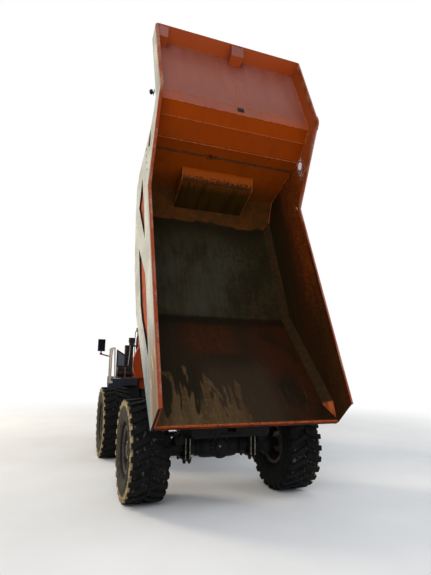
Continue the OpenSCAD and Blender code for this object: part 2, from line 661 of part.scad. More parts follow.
module handrails() color("#c9c6bc") place() pair() {
    foot_z = deck_z + 5;
    x = cab_x - 338;
    tube([[x, deck_y - 35, foot_z], [x, deck_y - 35, 2130], [x, 1225, 2376],
          [x, 1180, 2376], [x, 1150, foot_z]], 17);
    y = deck_edge(cab_x + 400) - 35;
    tube([[cab_x + 100, y, foot_z], [cab_x + 100, y, 2380],
          [cab_x + 400, y, 2380], [cab_x + 400, y, foot_z]], 17);
    for (p = [[x, deck_y - 35], [x, 1150], [cab_x + 100, y], [cab_x + 400, y]])
        rod_z(p[0], p[1], 30, deck_z, deck_z + 10);
}

module tanks() color("#2c2c2e") place() pair() {
    x = [wheelbase + guard_r + guard_t + 43, cab_x + 450];
    translate([x[0], 0, 0]) rotate([90, 0, 90]) linear_extrude(x[1] - x[0])
        soft_rect([700 + seat, deck_edge(x[1]) - 15], [640, deck_low - 50], 70);
}

module deck_boxes() color("#1c1c1e") place() {
    block([cab_x - 345, cab_x - 190], [930, 1110], [deck_z, 1931]);
    difference() {
        plate_x([[910, 1931], [910, 2218], [1130, 2350], [1130, 1931]], cab_x - 345, cab_x - 320);
        plate_x([[935, 1956], [935, 2204], [1105, 2306], [1105, 1956]], cab_x - 346, cab_x - 335);
    }
    block([cab_x - 315, cab_x - 170], [730, 920], [deck_z, 2455]);
    block([cab_x - 315, cab_x - 170], [600, 730], [2425, 2455]);
    rod_z(cab_x - 242, 765, 62, 2455, 2520);
    rod_z(cab_x - 242, 765, 75, 2520, 2634);
}

// The rounded cover on the cab's rear wall, narrower at its top and foot
module rear_cowl() color("#c8411c") place()
    translate([cab_x - 170, 0, 0]) rotate([90, 0, 90]) linear_extrude(170)
        polygon([for (side = [1, -1], i = [0:8])
            let (t = (side > 0 ? i : 8 - i) / 8)
            [side * (600 + 100 * sin(180 * pow(t, 0.9)) - 60 * pow(t, 3)), deck_z + (2465 - deck_z) * t]]);

// Plan of the cab from x0 to x1, inset by i and with corners of radius r
module cab_plan(x0, x1, i, r) {
    out = [sin(cab_turn), cos(cab_turn)] * r;
    mid = [for (x = [x0 + r, x1 - r]) [x, cab_side(x) - (i + r) / cos(cab_turn)]];
    half = [mid[0] - [r, 0], mid[0] + out, mid[1] + out, mid[1] + [r, 0]];
    polygon(concat(half, [for (j = [3:-1:0]) [half[j][0], -half[j][1]]]));
    for (m = mid, s = [-1, 1]) translate([m[0], s * m[1]]) circle(r);
}

// The cab's outer form, or with an inset its hollow
module cab_form(i) intersection() {
    plate_y([[cab_x + i, cab_foot + i], [cab_x + i, cab_z - i], [cab_front - 220 - i, cab_z - i],
             [cab_front - i, 2300], [cab_front - i, cab_foot + i]], -cab_y, cab_y);
    translate([0, 0, cab_foot]) linear_extrude(cab_z - cab_foot)
        cab_plan(cab_x + i, cab_front - i, i, 90 - i);
}

// Along the cab's left wall: x from its rear corner, y outward from its face
module at_wall() translate([cab_x, cab_y, 0]) rotate([0, 0, -cab_turn]) children();

module rear_window(x0, x1) block([cab_x + x0, cab_x + x1], [-420, 420], window_z);

module screen_cut(t0, t1) intersection() {
    plate_y(band([[cab_front, 2300], [cab_front - 220, cab_z]], 0, 1, -t1, -t0), -340, 340);
    block([cab_x, cab_front + 100], [-340, 340], [2360, cab_z - 90]);
}

module cab_shell() color("#c8411c") place() {
    difference() {
        cab_form(0);
        cab_form(cab_t);
        rear_window(-1, cab_t + 1);
        screen_cut(-5, cab_t + 20);
        pair() at_wall() block([door_x[0] - gap, door_x[1] + gap], [-cab_t - 1, 1],
                               [door_z[0] - gap, door_z[1] + gap]);
    }
    translate([0, 0, cab_z]) linear_extrude(49) cab_plan(cab_x - 20, cab_front - 170, -10, 80);
    // The plate that closes the hood's rear
    block([cab_front - 1, cab_front + 5], [5 - hood_y, hood_y - 5], [cab_foot, hood_z - 20]);
    pair() {
        at_wall() for (z = door_hinges) {
            rod_z(door_pin[0], door_pin[1], 9, z - 45, z + 45);
            for (dz = [-45, 31]) {
                rod_z(door_pin[0], door_pin[1], 16, z + dz, z + dz + 14);
                block([door_pin[0], door_pin[0] + 60], [0, door_pin[1] + 8], [z + dz, z + dz + 14]);
            }
        }
        for (y = [210, 290])
            block([cab_front, hood_pin[0] + 14], [y, y + 20], [hood_pin[1] - 14, hood_pin[1] + 14]);
        rod_y(hood_pin[0], hood_pin[1], 9, 210, 310);
    }
}

module cab_glass() color("#30383c", 0.4) place() {
    screen_cut(10, 20);
    rear_window(20, 30);
}

module door_leaf(side) mirror([0, side > 0 ? 0 : 1, 0]) at_wall() difference() {
    y = [-cab_t, 0];
    union() {
        block(door_x, y, door_z);
        for (z = door_hinges) {
            rod_z(door_pin[0], door_pin[1], 16, z - 28, z + 28);
            block([door_pin[0] - 60, door_pin[0]], [0, door_pin[1] + 8], [z - 28, z + 28]);
        }
    }
    block([door_x[0] + 65, door_x[1] - 65], y + [-1, 1], window_z);
    block([door_x[0] + 65, door_x[1] - 65], y + [-1, 1], [door_z[0] + 80, window_z[0] - 130]);
    for (z = door_hinges) rod_z(door_pin[0], door_pin[1], 9 + fit, z - 30, z + 30);
}
module door_pane(side) mirror([0, side > 0 ? 0 : 1, 0]) at_wall()
    for (z = [window_z, [door_z[0] + 80, window_z[0] - 130]])
        block([door_x[0] + 65, door_x[1] - 65], [-30, -20], z);

module cab_interior() color("#1c1c1e") place() {
    block([cab_x + 250, cab_x + 490], [-150, 150], [cab_foot + cab_t, 1720]);
    block([cab_x + 160, cab_x + 620], [-250, 250], [1720, 1880]);
    plate_y([[cab_x + 180, 1880], [cab_x + 310, 1880], [cab_x + 230, 2560], [cab_x + 110, 2560]], -240, 240);
    plate_y([[cab_front - cab_t - seat, 1500], [cab_front - 280, 1500],
             [cab_front - 250, 2150], [cab_front - cab_t - seat, 2230]], -330, 330);
    translate([cab_front - 265, 0, 2080]) rotate([0, -55, 0]) {
        rod_z(0, 0, 22, -10, 160);
        rotate_extrude($fn = 48) translate([200, 160]) circle(16);
        rod_x(0, 160, 12, -200, 200);
        rod_y(0, 160, 12, -200, 200);
    }
}

module hood_form(i) intersection() {
    plate_y([[hood_x, 1130], [hood_x, hood_z - i], [hood_x + hood_l * 0.6, hood_z - 120 - i],
             [hood_x + hood_l - 20 - i, hood_z - 330], [hood_x + hood_l - i, 1130]], -hood_y + i, hood_y - i);
    translate([hood_x, 0, 0]) rotate([90, 0, 90]) linear_extrude(hood_l)
        soft_rect([-hood_y + i, hood_y - i], [900, hood_z - i], 150 - i);
    translate([0, 0, 1130]) linear_extrude(hood_z - 1130)
        soft_rect([hood_x - 400, hood_x + hood_l - i], [-hood_y + i, hood_y - i], 130 - i);
}

module hood() color("#c8411c") place() difference() {
    union() {
        hood_form(0);
        pair() hood_ear();
    }
    translate([-1, 0, -1]) hood_form(hood_t);
    block([hood_x + hood_l - 60, hood_x + hood_l + 10], [-430, 430], [1230, 1760]);
    rod_y(hood_pin[0], hood_pin[1], 9 + fit, -320, 320);
}
module hood_ear() {
    rod_y(hood_pin[0], hood_pin[1], 16, 235, 285);
    block([hood_pin[0] - 12, hood_pin[0] + 60], [235, 285], [hood_z - 12, hood_pin[1] - 4]);
}

module grille() color("#1c1c1e") place() difference() {
    block([hood_x + hood_l - 50, hood_x + hood_l - 8], [-430, 430], [1230, 1760]);
    for (i = [0:10])
        block([hood_x + hood_l - 51, hood_x + hood_l], [-400, 400], [1256 + i * 44, 1282 + i * 44]);
}

module mirrors() color("#1c1c1e") place() pair() {
    x = cab_front - 50;
    y = deck_y + 170;
    tube([[x, y - 375, deck_z], [x, y - 375, 2180], [x, y - 90, 2250], [x, y - 90, 2330]], 17);
    block([x - 30, x + 30], [y - 186, y], [2325, 2645]);
}

rear_chassis();
rear_axle();
rear_lamps();
bed_floor();
bed_sides();
bed_front();
bed_canopy();
bed_rims();
side_frames();
headboard_ribs();
bed_beams();
hoist_barrel(1);  // hoist_barrel_l
hoist_barrel(-1);  // hoist_barrel_r
hoist_rod(1);  // hoist_rod_l
hoist_rod(-1);  // hoist_rod_r
steer_barrel(1);  // steer_barrel_l
steer_barrel(-1);  // steer_barrel_r
steer_rod(1);  // steer_rod_l
steer_rod(-1);  // steer_rod_r
at_wheel(0, 1) tyre(1);  // tyre_rl
at_wheel(0, -1) tyre(-1);  // tyre_rr
at_wheel(wheelbase, 1) tyre(1);  // tyre_fl
at_wheel(wheelbase, -1) tyre(-1);  // tyre_fr
at_wheel(0, 1) rim();  // rim_rl
at_wheel(0, -1) rim();  // rim_rr
at_wheel(wheelbase, 1) rim();  // rim_fl
at_wheel(wheelbase, -1) rim();  // rim_fr
front_frame();
front_axle();
bumper();
front_lamps();
engine();
decks();
ladders();
handrails();
tanks();
deck_boxes();
rear_cowl();
cab_shell();
cab_glass();
cab_interior();
color("#c8411c") place() door_leaf(1);  // door_l
color("#c8411c") place() door_leaf(-1);  // door_r
color("#30383c", 0.4) place() door_pane(1);  // door_glass_l
color("#30383c", 0.4) place() door_pane(-1);  // door_glass_r
hood();
grille();
mirrors();
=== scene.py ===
"""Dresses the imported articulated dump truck: camera, light, floor, materials and detail pieces.

Lengths are in millimetres, except in materials, where they are in metres. Colours are sRGB
from 0 to 255. Each point goes through a frame (at, bed, tail, wall...) into the row frame.
"""
import math
import random

import bmesh
import bpy
from mathutils import Matrix, Vector


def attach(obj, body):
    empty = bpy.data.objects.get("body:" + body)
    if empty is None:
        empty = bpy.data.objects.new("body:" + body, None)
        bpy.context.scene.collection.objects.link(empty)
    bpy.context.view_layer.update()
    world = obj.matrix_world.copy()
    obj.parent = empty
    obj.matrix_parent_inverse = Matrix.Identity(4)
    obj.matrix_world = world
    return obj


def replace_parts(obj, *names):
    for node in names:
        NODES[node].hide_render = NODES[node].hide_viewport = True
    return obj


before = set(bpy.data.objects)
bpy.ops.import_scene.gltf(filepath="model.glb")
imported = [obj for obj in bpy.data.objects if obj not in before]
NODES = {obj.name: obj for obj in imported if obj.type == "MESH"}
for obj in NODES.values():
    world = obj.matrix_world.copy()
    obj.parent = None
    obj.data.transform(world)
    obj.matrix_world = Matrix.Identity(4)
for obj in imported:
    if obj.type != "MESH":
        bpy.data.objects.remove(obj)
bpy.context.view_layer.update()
scene = bpy.context.scene
scene.view_settings.view_transform = "Standard"
X, Y, Z = (Vector(axis) for axis in ((1, 0, 0), (0, 1, 0), (0, 0, 1)))

# Sizes as in the part's source, which measures X from the rear axle
MID_X = 2235.452
WHEELBASE = 3300
AXLE_Z = 745
TRACK = 2455
# Half the tyre's width, and the radius between its lugs and over them
TYRE_Y = 285
CROWN = 709
TREAD = 745
# The bed: where its rim starts, half its width outside and inside, its depth and its bends
BED_UP = math.radians(69.16)
COS, SIN = math.cos(BED_UP), math.sin(BED_UP)
RIM_X, RIM_Z = -1729.095, 1516.250
BED_Y = 1382
ROOM_Y = 1338
BED_H = 1164
CREASE = 1842
LIP = (-149, -395)
WALL_S = 4301
TAIL = math.atan2(-BED_H - LIP[1], CREASE - LIP[0])
# How far the damp runs' fading reaches along the tail, in metres
TAIL_REACH = 1.99
# The bed's directions up from the rim and back along it, in the row frame
UP_FROM_RIM = (-SIN, 0, COS)
BACK_ALONG_RIM = (-COS, 0, -SIN)
# Pins: bed hinge (x, z), hoist's foot, hoist's eye in the bed's frame, steering cylinder's ends
HINGE = (-411, 1603)
HOIST_FOOT = (1300, 720, 735)
HOIST_EYE = (1293, 720, -1097)
STEER_REAR = (1050, 260, 900)
STEER_FRONT = (2110, 330, 900)
# Decks, the cab's rear corner with the turn of its side walls, windscreen and hood
DECK_Z = 1667
CAB_X = 4250
CAB_Y = 545
CAB_TURN = math.atan(0.125)
SCREEN_X, SCREEN_Z = 5250, 2300
SCREEN_LEAN = math.atan2(220, 940)
HOOD_Y = 599


def at(x, y, z):
    """A point of the truck in the row frame, in metres."""
    return Vector(((x - MID_X) / 1000, y / 1000, z / 1000))


def bed(s, y, n):
    """A point given along and above the bed's rim."""
    return at(RIM_X + s * COS - n * SIN, y, RIM_Z + s * SIN + n * COS)


def tail(t, y, h):
    """A point on the tail plate: t forward from the lip, h above the plate."""
    return bed(LIP[0] + t * math.cos(TAIL) - h * math.sin(TAIL), y,
               LIP[1] + t * math.sin(TAIL) + h * math.cos(TAIL))


def wall(x, y, z):
    """A point by the cab's left wall: x from its rear corner, y out from its face."""
    return at(CAB_X + x * math.cos(CAB_TURN) + y * math.sin(CAB_TURN),
              CAB_Y - x * math.sin(CAB_TURN) + y * math.cos(CAB_TURN), z)


def screen(t, y, h):
    """A point by the windscreen: t up its slope, h out from it."""
    return at(SCREEN_X - t * math.sin(SCREEN_LEAN) + h * math.cos(SCREEN_LEAN), y,
              SCREEN_Z + t * math.cos(SCREEN_LEAN) + h * math.sin(SCREEN_LEAN))


def axle(x):
    """The frame of an axle: x and z from its line, y from the truck's middle."""
    return lambda dx, y, dz: at(x + dx, y, AXLE_Z + dz)


def wheel(x, side):
    """The frame of a wheel: x and z from its axle's line, y outwards from the tread's middle."""
    return lambda dx, off, dz: at(x + dx, side * (TRACK / 2 + off), AXLE_Z + dz)


def mirrored(place):
    """The same frame on the truck's right side."""
    return lambda x, y, z: Vector((1, -1, 1)) * place(x, y, z)


def both_sides(*pieces):
    """Runs a loop twice, first with the pieces' own frame and then with its mirror image."""
    own = pieces[0].to
    for place in (own, mirrored(own)):
        for piece in pieces:
            piece.to = place
        yield
    for piece in pieces:
        piece.to = own


def add_object(name, data):
    obj = bpy.data.objects.new(name, data)
    scene.collection.objects.link(obj)
    return obj


def circle(count, radius, turn=0.0):
    """Evenly spaced places on a circle; turn is a share of a step."""
    for k in range(count):
        a = math.tau * (k + turn) / count
        yield radius * math.cos(a), radius * math.sin(a)


# Materials


def srgb(r, g, b):
    def linear(c):
        c /= 255
        return c / 12.92 if c <= 0.04045 else ((c + 0.055) / 1.055) ** 2.4
    return (linear(r), linear(g), linear(b), 1.0)


def dimmed(color, share):
    return tuple(c * share for c in srgb(*color)[:3]) + (1.0,)


class Value:
    """A number in a node tree, with arithmetic."""

    def __init__(self, nodes, socket):
        self.nodes, self.socket = nodes, socket

    def __add__(self, other):
        return self.nodes.math("ADD", self, other)

    def __sub__(self, other):
        return self.nodes.math("SUBTRACT", self, other)

    def __mul__(self, other):
        return self.nodes.math("MULTIPLY", self, other)

    def __abs__(self):
        return self.nodes.math("ABSOLUTE", self)

    def root(self):
        return self.nodes.math("SQRT", self)

    def over(self, limit):
        return self.nodes.math("GREATER_THAN", self, limit)

    def ease(self, low, high):
        """Rises smoothly from 0 at low to 1 at high."""
        node = self.nodes.add("ShaderNodeMapRange", self, interpolation_type="SMOOTHSTEP")
        self.nodes.feed(node, From_Min=low, From_Max=high)
        return Value(self.nodes, node.outputs["Result"])

    def near(self, middle, half, soft):
        """1 within half of middle, falling off over soft."""
        return abs(self - middle).ease(half + soft, half)

    def wander(self, noise, amount):
        return self + (noise - 0.5) * amount


class Nodes:
    """Adds nodes to an emptied node tree."""

    def __init__(self, tree):
        self.tree = tree
        tree.nodes.clear()

    def add(self, kind, *values, **props):
        node = self.tree.nodes.new(kind)
        for key, value in props.items():
            setattr(node, key, value)
        for socket, value in zip(node.inputs, values):
            self.put(socket, value)
        return node

    def put(self, socket, value):
        if isinstance(value, Value):
            value = value.socket
        if isinstance(value, bpy.types.NodeSocket):
            self.tree.links.new(value, socket)
        else:
            socket.default_value = value

    def feed(self, node, **values):
        """Sets or links a node's inputs by name, with underscores for spaces."""
        for key, value in values.items():
            self.put(node.inputs[key.replace("_", " ")], value)

    def math(self, op, a, b=0.0):
        return Value(self, self.add("ShaderNodeMath", a, b, operation=op).outputs[0])


class Graph(Nodes):
    """Node graph of a material. Its place is the row frame in metres, which moves with the body."""

    def __init__(self, name):
        self.mat = bpy.data.materials.new(name)
        self.mat.use_nodes = True
        super().__init__(self.mat.node_tree)
        self.shader = self.add("ShaderNodeBsdfPrincipled")
        self.out = self.add("ShaderNodeOutputMaterial", self.shader.outputs[0])
        coord = self.add("ShaderNodeTexCoord")
        self.place = coord.outputs["Object"]
        self.normal = coord.outputs["Normal"]
        split = self.add("ShaderNodeSeparateXYZ", self.place)
        self.x, self.y, self.z = (Value(self, socket) for socket in split.outputs)
        self.field = self.place

    def bed(self):
        """Place along the rim, across and above it; stretched() follows it from here on."""
        x, z = self.x - at(RIM_X, 0, 0).x, self.z - RIM_Z / 1000
        s, n = x * COS + z * SIN, z * COS - x * SIN
        self.field = self.add("ShaderNodeCombineXYZ", s, self.y, n).outputs[0]
        return s, self.y, n

    def dot(self, axis):
        """How far the surface faces along the axis."""
        node = self.add("ShaderNodeVectorMath", self.normal, axis, operation="DOT_PRODUCT")
        return Value(self, node.outputs["Value"])

    def noise(self, scale, detail=4, rough=0.55, warp=0.0, vector=None):
        node = self.add("ShaderNodeTexNoise", vector or self.place)
        self.feed(node, Scale=scale, Detail=detail, Roughness=rough, Distortion=warp)
        return Value(self, node.outputs["Fac"])

    def stretched(self, stretch, detail, rough, warp=0.0, shift=(0, 0, 0)):
        """Noise with a scale for each axis."""
        node = self.add("ShaderNodeVectorMath", self.field, stretch, shift, operation="MULTIPLY_ADD")
        return self.noise(1.0, detail, rough, warp, node.outputs[0])

    def mix(self, share, *tints):
        node = self.add("ShaderNodeMix", share, data_type="RGBA", clamp_factor=True)
        for socket, tint in zip(node.inputs[6:8], tints):
            if isinstance(tint, tuple) and len(tint) == 3:
                tint = srgb(*tint)
            self.put(socket, tint)
        return node.outputs[2]

    def coats(self, tint, *layers):
        """Lays colours over a tint. Each layer is (where, colour) or (where, colour, strength)."""
        for where, color, *strength in layers:
            tint = self.mix(where * strength[0] if strength else where, tint, color)
        return tint

    def done(self, color, roughness, bump=None, depth=0.0, metallic=0.0, shine=0.2, **more):
        self.feed(self.shader, Base_Color=color, Roughness=roughness, Metallic=metallic,
                  Specular_IOR_Level=shine, **more)
        if bump:
            node = self.add("ShaderNodeBump")
            self.feed(node, Strength=0.7, Distance=depth, Height=bump)
            self.feed(self.shader, Normal=node.outputs[0])
        return self.mat


def paint(name, color, worn, dust, roughness=0.45, dirt=0.5, flecks=0.63, settled=0.8):
    """Painted steel with dull patches, chips, orange-peel and dust that gathers on top faces."""
    g = Graph(name)
    chips = g.noise(26, 6, 0.7).ease(flecks, flecks + 0.03)
    streak = g.stretched((31.5, 31.5, 3.15), 4, 0.6)
    dusty = g.dot(Z).ease(0.3, 0.95) * g.noise(6, 4).ease(0.3, 0.7)
    tint = g.coats(
        color,
        (g.noise(2.2, 5, 0.6).ease(0.35, 0.7), dimmed(color, 0.72), 0.5),
        (streak.ease(0.48, 0.75), worn, dirt),
        (dusty, dust, settled),
        (chips, worn, 0.8))
    rough = streak.ease(0.4, 0.8) * 0.25 + roughness
    return g.done(tint, rough, g.noise(38, 3, 0.6) * 0.25 + chips * -0.8, 0.0008)


def bed_floor_material():
    """Inside of the floor and tail: worn steel with damp runs; the outside is dark red-brown, its orange
    darkened as painted shade.
    """
    g = Graph("floor plate")
    s, y, _ = g.bed()
    blotch = g.noise(1.6, 6, 0.62)
    small = g.noise(14, 5, 0.65)
    fine = g.stretched((2.2, 26.0, 0), 5, 0.7, 0.2, shift=(0, 0, 1))
    drag = g.stretched((0.7, 5.5, 0), 4, 0.6, 0.25, shift=(0, 0, 7))
    lane = g.stretched((0.8, 4.0, 0), 4, 0.6, 0.55)
    thin = g.stretched((1.6, 13.0, 0), 3, 0.6, 0.5, shift=(0, 0, 4))
    lines = fine.ease(0.52, 0.68)
    pale = y.near(0.42, 0.62, 0.75) * s.near(2.55, 0.42, 0.75) * (drag * 0.4 + blotch * 0.6).ease(0.34, 0.58)
    rusty = y.near(-0.85, 0.12, 0.3) * s.near(2.15, 0.12, 0.4) * blotch.ease(0.4, 0.6)
    floor = g.coats(
        (30, 24, 8),
        (blotch.ease(0.36, 0.64), (38, 32, 15)),
        (pale, (50, 47, 37), 0.8),
        (y.ease(0.1, -0.6) * small.ease(0.50, 0.60), (20, 18, 5), 0.6),
        (rusty, (66, 40, 22), 0.35),
        (lines, (16, 13, 5), 0.45),
        (fine.ease(0.44, 0.30), (84, 80, 68), 0.12),
        (s.near(3.80, 0.03, 0.30), (20, 15, 5), 0.65))
    # Towards the front wall the plate keeps its orange-brown paint above a wavy dark edge
    upper = g.coats(
        (86, 46, 11),
        (g.noise(5, 5, 0.65).ease(0.35, 0.66), (64, 39, 12)),
        (small.ease(0.54, 0.68), (38, 26, 8), 0.5))
    floor = g.mix(s.wander(g.noise(2.4, 5, 0.62), 0.34).ease(3.84, 3.90), floor, upper)
    # Damp runs spread down the tail from the crease; the plate is tan between them near the lip
    down = (s - LIP[0] / 1000) * (1 / TAIL_REACH)
    bare = g.coats(
        (76, 59, 37),
        (drag.ease(0.38, 0.62), (62, 46, 27)),
        (small.ease(0.5, 0.62), (100, 80, 56), 0.25),
        (y.ease(-0.35, 0.45).ease(1.0, 0.0), (52, 34, 20), 0.8))
    rust = y.near(0.26, 0.20, 0.42) * s.near(1.34, 0.12, 0.36) * small.ease(0.15, 0.8)
    damp = g.coats(
        (22, 16, 6),
        (blotch.ease(0.42, 0.62), (30, 20, 8)),
        (rust, (62, 26, 7), 0.85),
        (y.ease(-0.15, -0.75) * blotch.ease(0.38, 0.6), (44, 19, 6)),
        (y.near(0.0, 0.35, 0.35) * s.near(0.25, 0.35, 0.45), (45, 34, 22), 0.8),
        (lines, (50, 34, 18), 0.3),
        (s.near(1.78, 0.04, 0.14), (14, 10, 4), 0.7))
    reach = lane + thin * 0.10 + down * 0.52
    wet = (reach + y.ease(0.25, -0.35) * 0.30).ease(0.660, 0.685)
    scratch = fine.ease(0.62, 0.68) * y.ease(0.6, -0.4) * down.ease(0.8, 0.3)
    tail_tint = g.coats(bare, (wet, damp), (scratch, (96, 66, 36), 0.4))
    tail_zone = (s + blotch * 0.16).ease(1.96, 1.86)
    # The bar along the lip, the outside, and the gussets stay painted
    lip = s.ease(-0.105, -0.128)
    bar = g.mix(small.ease(0.45, 0.6), (148, 64, 22), (104, 52, 26))
    # The outside: orange darkened as painted shade, with darker patches
    outside = g.mix(g.noise(3, 5).ease(0.4, 0.65), (88, 34, 14), (44, 22, 12))
    tint = g.coats(floor, (tail_zone, tail_tint), (lip, bar))
    tint = g.mix(g.dot(UP_FROM_RIM).ease(0.35, 0.55), outside, tint)
    gusset = g.mix(thin.ease(0.42, 0.62), (170, 82, 34), (96, 44, 16))
    strip_tint = g.coats(
        (36, 26, 9),
        (small.ease(0.4, 0.65), (52, 31, 9)),
        (s.ease(0.175, 0.135), gusset))
    strip = abs(y).ease(ROOM_Y / 1000 - 0.13, ROOM_Y / 1000 - 0.105) * abs(g.dot(Y)).ease(0.25, 0.4)
    tint = g.mix(strip * lip.ease(0.9, 0.1), tint, strip_tint)
    rough = wet * tail_zone * -0.22 + 0.74
    return g.done(tint, rough, small + fine * 0.6 + wet * -0.5, 0.0016, shine=0.07)


def bed_sides_material():
    """Side sheets: orange by the rim, a stained band below it, dark mud towards the floor."""
    g = Graph("side sheets")
    s, y, n = g.bed()
    broad = g.noise(1.8, 5, 0.6)
    small = g.noise(16, 5, 0.65)
    scuffs = g.stretched((1.1, 0, 9.0), 5, 0.6, 0.3, shift=(0, 2, 0))
    level = n.wander(broad, 0.45)
    upper = g.mix((s + broad * 0.8).ease(3.2, 1.6), (116, 50, 9), (62, 33, 8))
    band = (level + s * -0.06).near(-0.40, 0.10, 0.22) * g.noise(34, 5, 0.72).ease(0.47, 0.55)
    # A lump of packed snow with specks round it, on the right wall
    specks = s.near(4.22, 0.10, 0.28) * n.near(0.33, 0.03, 0.12) * g.noise(36, 4, 0.7).ease(0.55, 0.60)
    off_s, off_n = s - 4.215, n - 0.322
    far = (off_s * off_s * 0.45 + off_n * off_n).root()
    lump = (far + g.noise(20, 3) * 0.05).ease(0.085, 0.075)
    snow = g.math("MAXIMUM", specks, lump) * y.ease(-1.0, -1.2)
    # Towards the outside the sheet shows clean orange in the frames' openings
    outer = abs(y).ease(ROOM_Y / 1000 + 0.009, ROOM_Y / 1000 + 0.011)
    clean = g.mix(broad.ease(0.4, 0.65), (168, 64, 14), (122, 46, 16))
    tint = g.coats(
        (48, 26, 8),
        (level.ease(-0.62, -0.15), upper),
        (level.ease(-0.55, -0.95), (36, 28, 10), 0.85),
        (scuffs.ease(0.5, 0.66), (34, 17, 5), 0.45),
        (band, (28, 17, 6), 0.7),
        (small.ease(0.62, 0.70), (96, 56, 26), 0.2),
        (n.ease(0.25, 0.55), (146, 66, 26), 0.8),
        (snow, (252, 252, 252)),
        (outer, clean))
    return g.done(tint, scuffs * 0.25 + 0.5, small + scuffs * 0.5, 0.0014, shine=0.1)


def bed_front_material():
    """Front wall: orange above, a dirty band at its foot, and a raised box that is dark in front."""
    g = Graph("front wall")
    s, y, n = g.bed()
    broad = g.noise(1.7, 5, 0.6)
    small = g.noise(18, 5, 0.65)
    specks = g.noise(30, 4, 0.7)
    streak = g.stretched((0.8, 8.0, 1.2), 5, 0.6, 0.25)
    seam = n.wander(g.noise(9, 4), 0.05).near(0.05, 0.017, 0.016) * small.ease(0.3, 0.5)
    splash = y.near(0.26, 0.03, 0.10) * n.near(0.05, 0.01, 0.07) * small.ease(0.4, 0.5)
    # The box: its top collects dark speckles, its front is caked
    proud = (s + n * -0.04).ease(WALL_S / 1000 + 0.004, WALL_S / 1000 - 0.012) * y.near(0, 0.672, 0.006)
    top = g.mix((s * -1.0 + specks * 0.32).ease(-4.07, -3.98), (142, 66, 16), (52, 30, 8))
    front = g.coats(
        (58, 38, 9),
        ((n + specks * 0.45).ease(-0.35, -0.15), (104, 54, 16)),
        (streak.ease(0.48, 0.62), (34, 22, 6), 0.5))
    tint = g.coats(
        (144, 62, 4),
        (n.ease(-0.3, 0.5), (140, 54, 2)),
        (broad.ease(0.45, 0.7), (112, 44, 8), 0.4),
        (streak.ease(0.52, 0.74), (84, 34, 6), 0.2),
        ((n + broad * 0.3).ease(-0.20, -0.50), (96, 50, 14), 0.75),
        (seam, (74, 54, 32)),
        (splash, (40, 26, 14)),
        (proud, g.mix(g.dot(UP_FROM_RIM).ease(0.45, 0.75), front, top)),
        # Painted shade: a thin dark line along the bend at the top of the wall
        (n.near(0.29, 0.004, 0.01), (70, 28, 8), 0.7))
    return g.done(tint, streak * 0.2 + 0.5, small + streak, 0.0012, shine=0.04)


def canopy_material():
    """Canopy: orange at its foot, with a painted pink sky reflection above, and plain orange on the
    upstand's faces that look back along the rim.
    """
    g = Graph("canopy sheet")
    s, _, _ = g.bed()
    broad = g.noise(1.4, 5, 0.6)
    streak = g.stretched((0.9, 5.0, 0.9), 4, 0.6, 0.2)
    small = g.noise(22, 4, 0.6)
    tint = g.coats(
        (138, 56, 10),
        # Painted reflection: the pinks below stand for the sky's sheen on the canopy's orange
        (s.ease(4.66, 4.86), (122, 58, 38)),
        (broad.ease(0.36, 0.66), (112, 52, 40), 0.6),
        (s.ease(4.86, 5.3) * streak.ease(0.36, 0.66), (132, 74, 66), 0.6),
        (streak.ease(0.58, 0.78), (96, 42, 24), 0.3),
        # The upstand's faces that look back along the rim keep their orange, without the painted reflection
        (s.ease(5.85, 5.9) * g.dot(BACK_ALONG_RIM).ease(0.5, 0.8), (178, 74, 8)),
        (small.ease(0.62, 0.7), (80, 40, 28), 0.3))
    return g.done(tint, streak * 0.3 + 0.4, small + broad * 2, 0.0012, shine=0.45)


def rim_material():
    """The bed's rim caps: chipped, rubbed pale on top, dirty on their inner faces."""
    g = Graph("rim caps")
    s, y, n = g.bed()
    broad = g.noise(3.0, 5, 0.6)
    chips = g.noise(30, 6, 0.7)
    inward = (g.dot(Y) * g.math("SIGN", y)).ease(-0.5, -0.8)
    tint = g.coats(
        (134, 50, 10),
        (broad.ease(0.4, 0.65), (126, 62, 34)),
        (chips.ease(0.56, 0.62), (62, 28, 12), 0.75),
        (broad.ease(0.56, 0.7) * chips.ease(0.5, 0.42), (160, 112, 90)),
        (n.ease(-0.008, -0.001) * broad.ease(0.44, 0.6), (170, 128, 104), 0.35),
        (inward * (s + broad).ease(3.9, 3.0), g.mix(chips.ease(0.4, 0.6), (78, 34, 9), (40, 20, 7))),
        (s.near(5.023, 0.006, 0.004), (70, 30, 16)))
    return g.done(tint, 0.45, chips, 0.001)


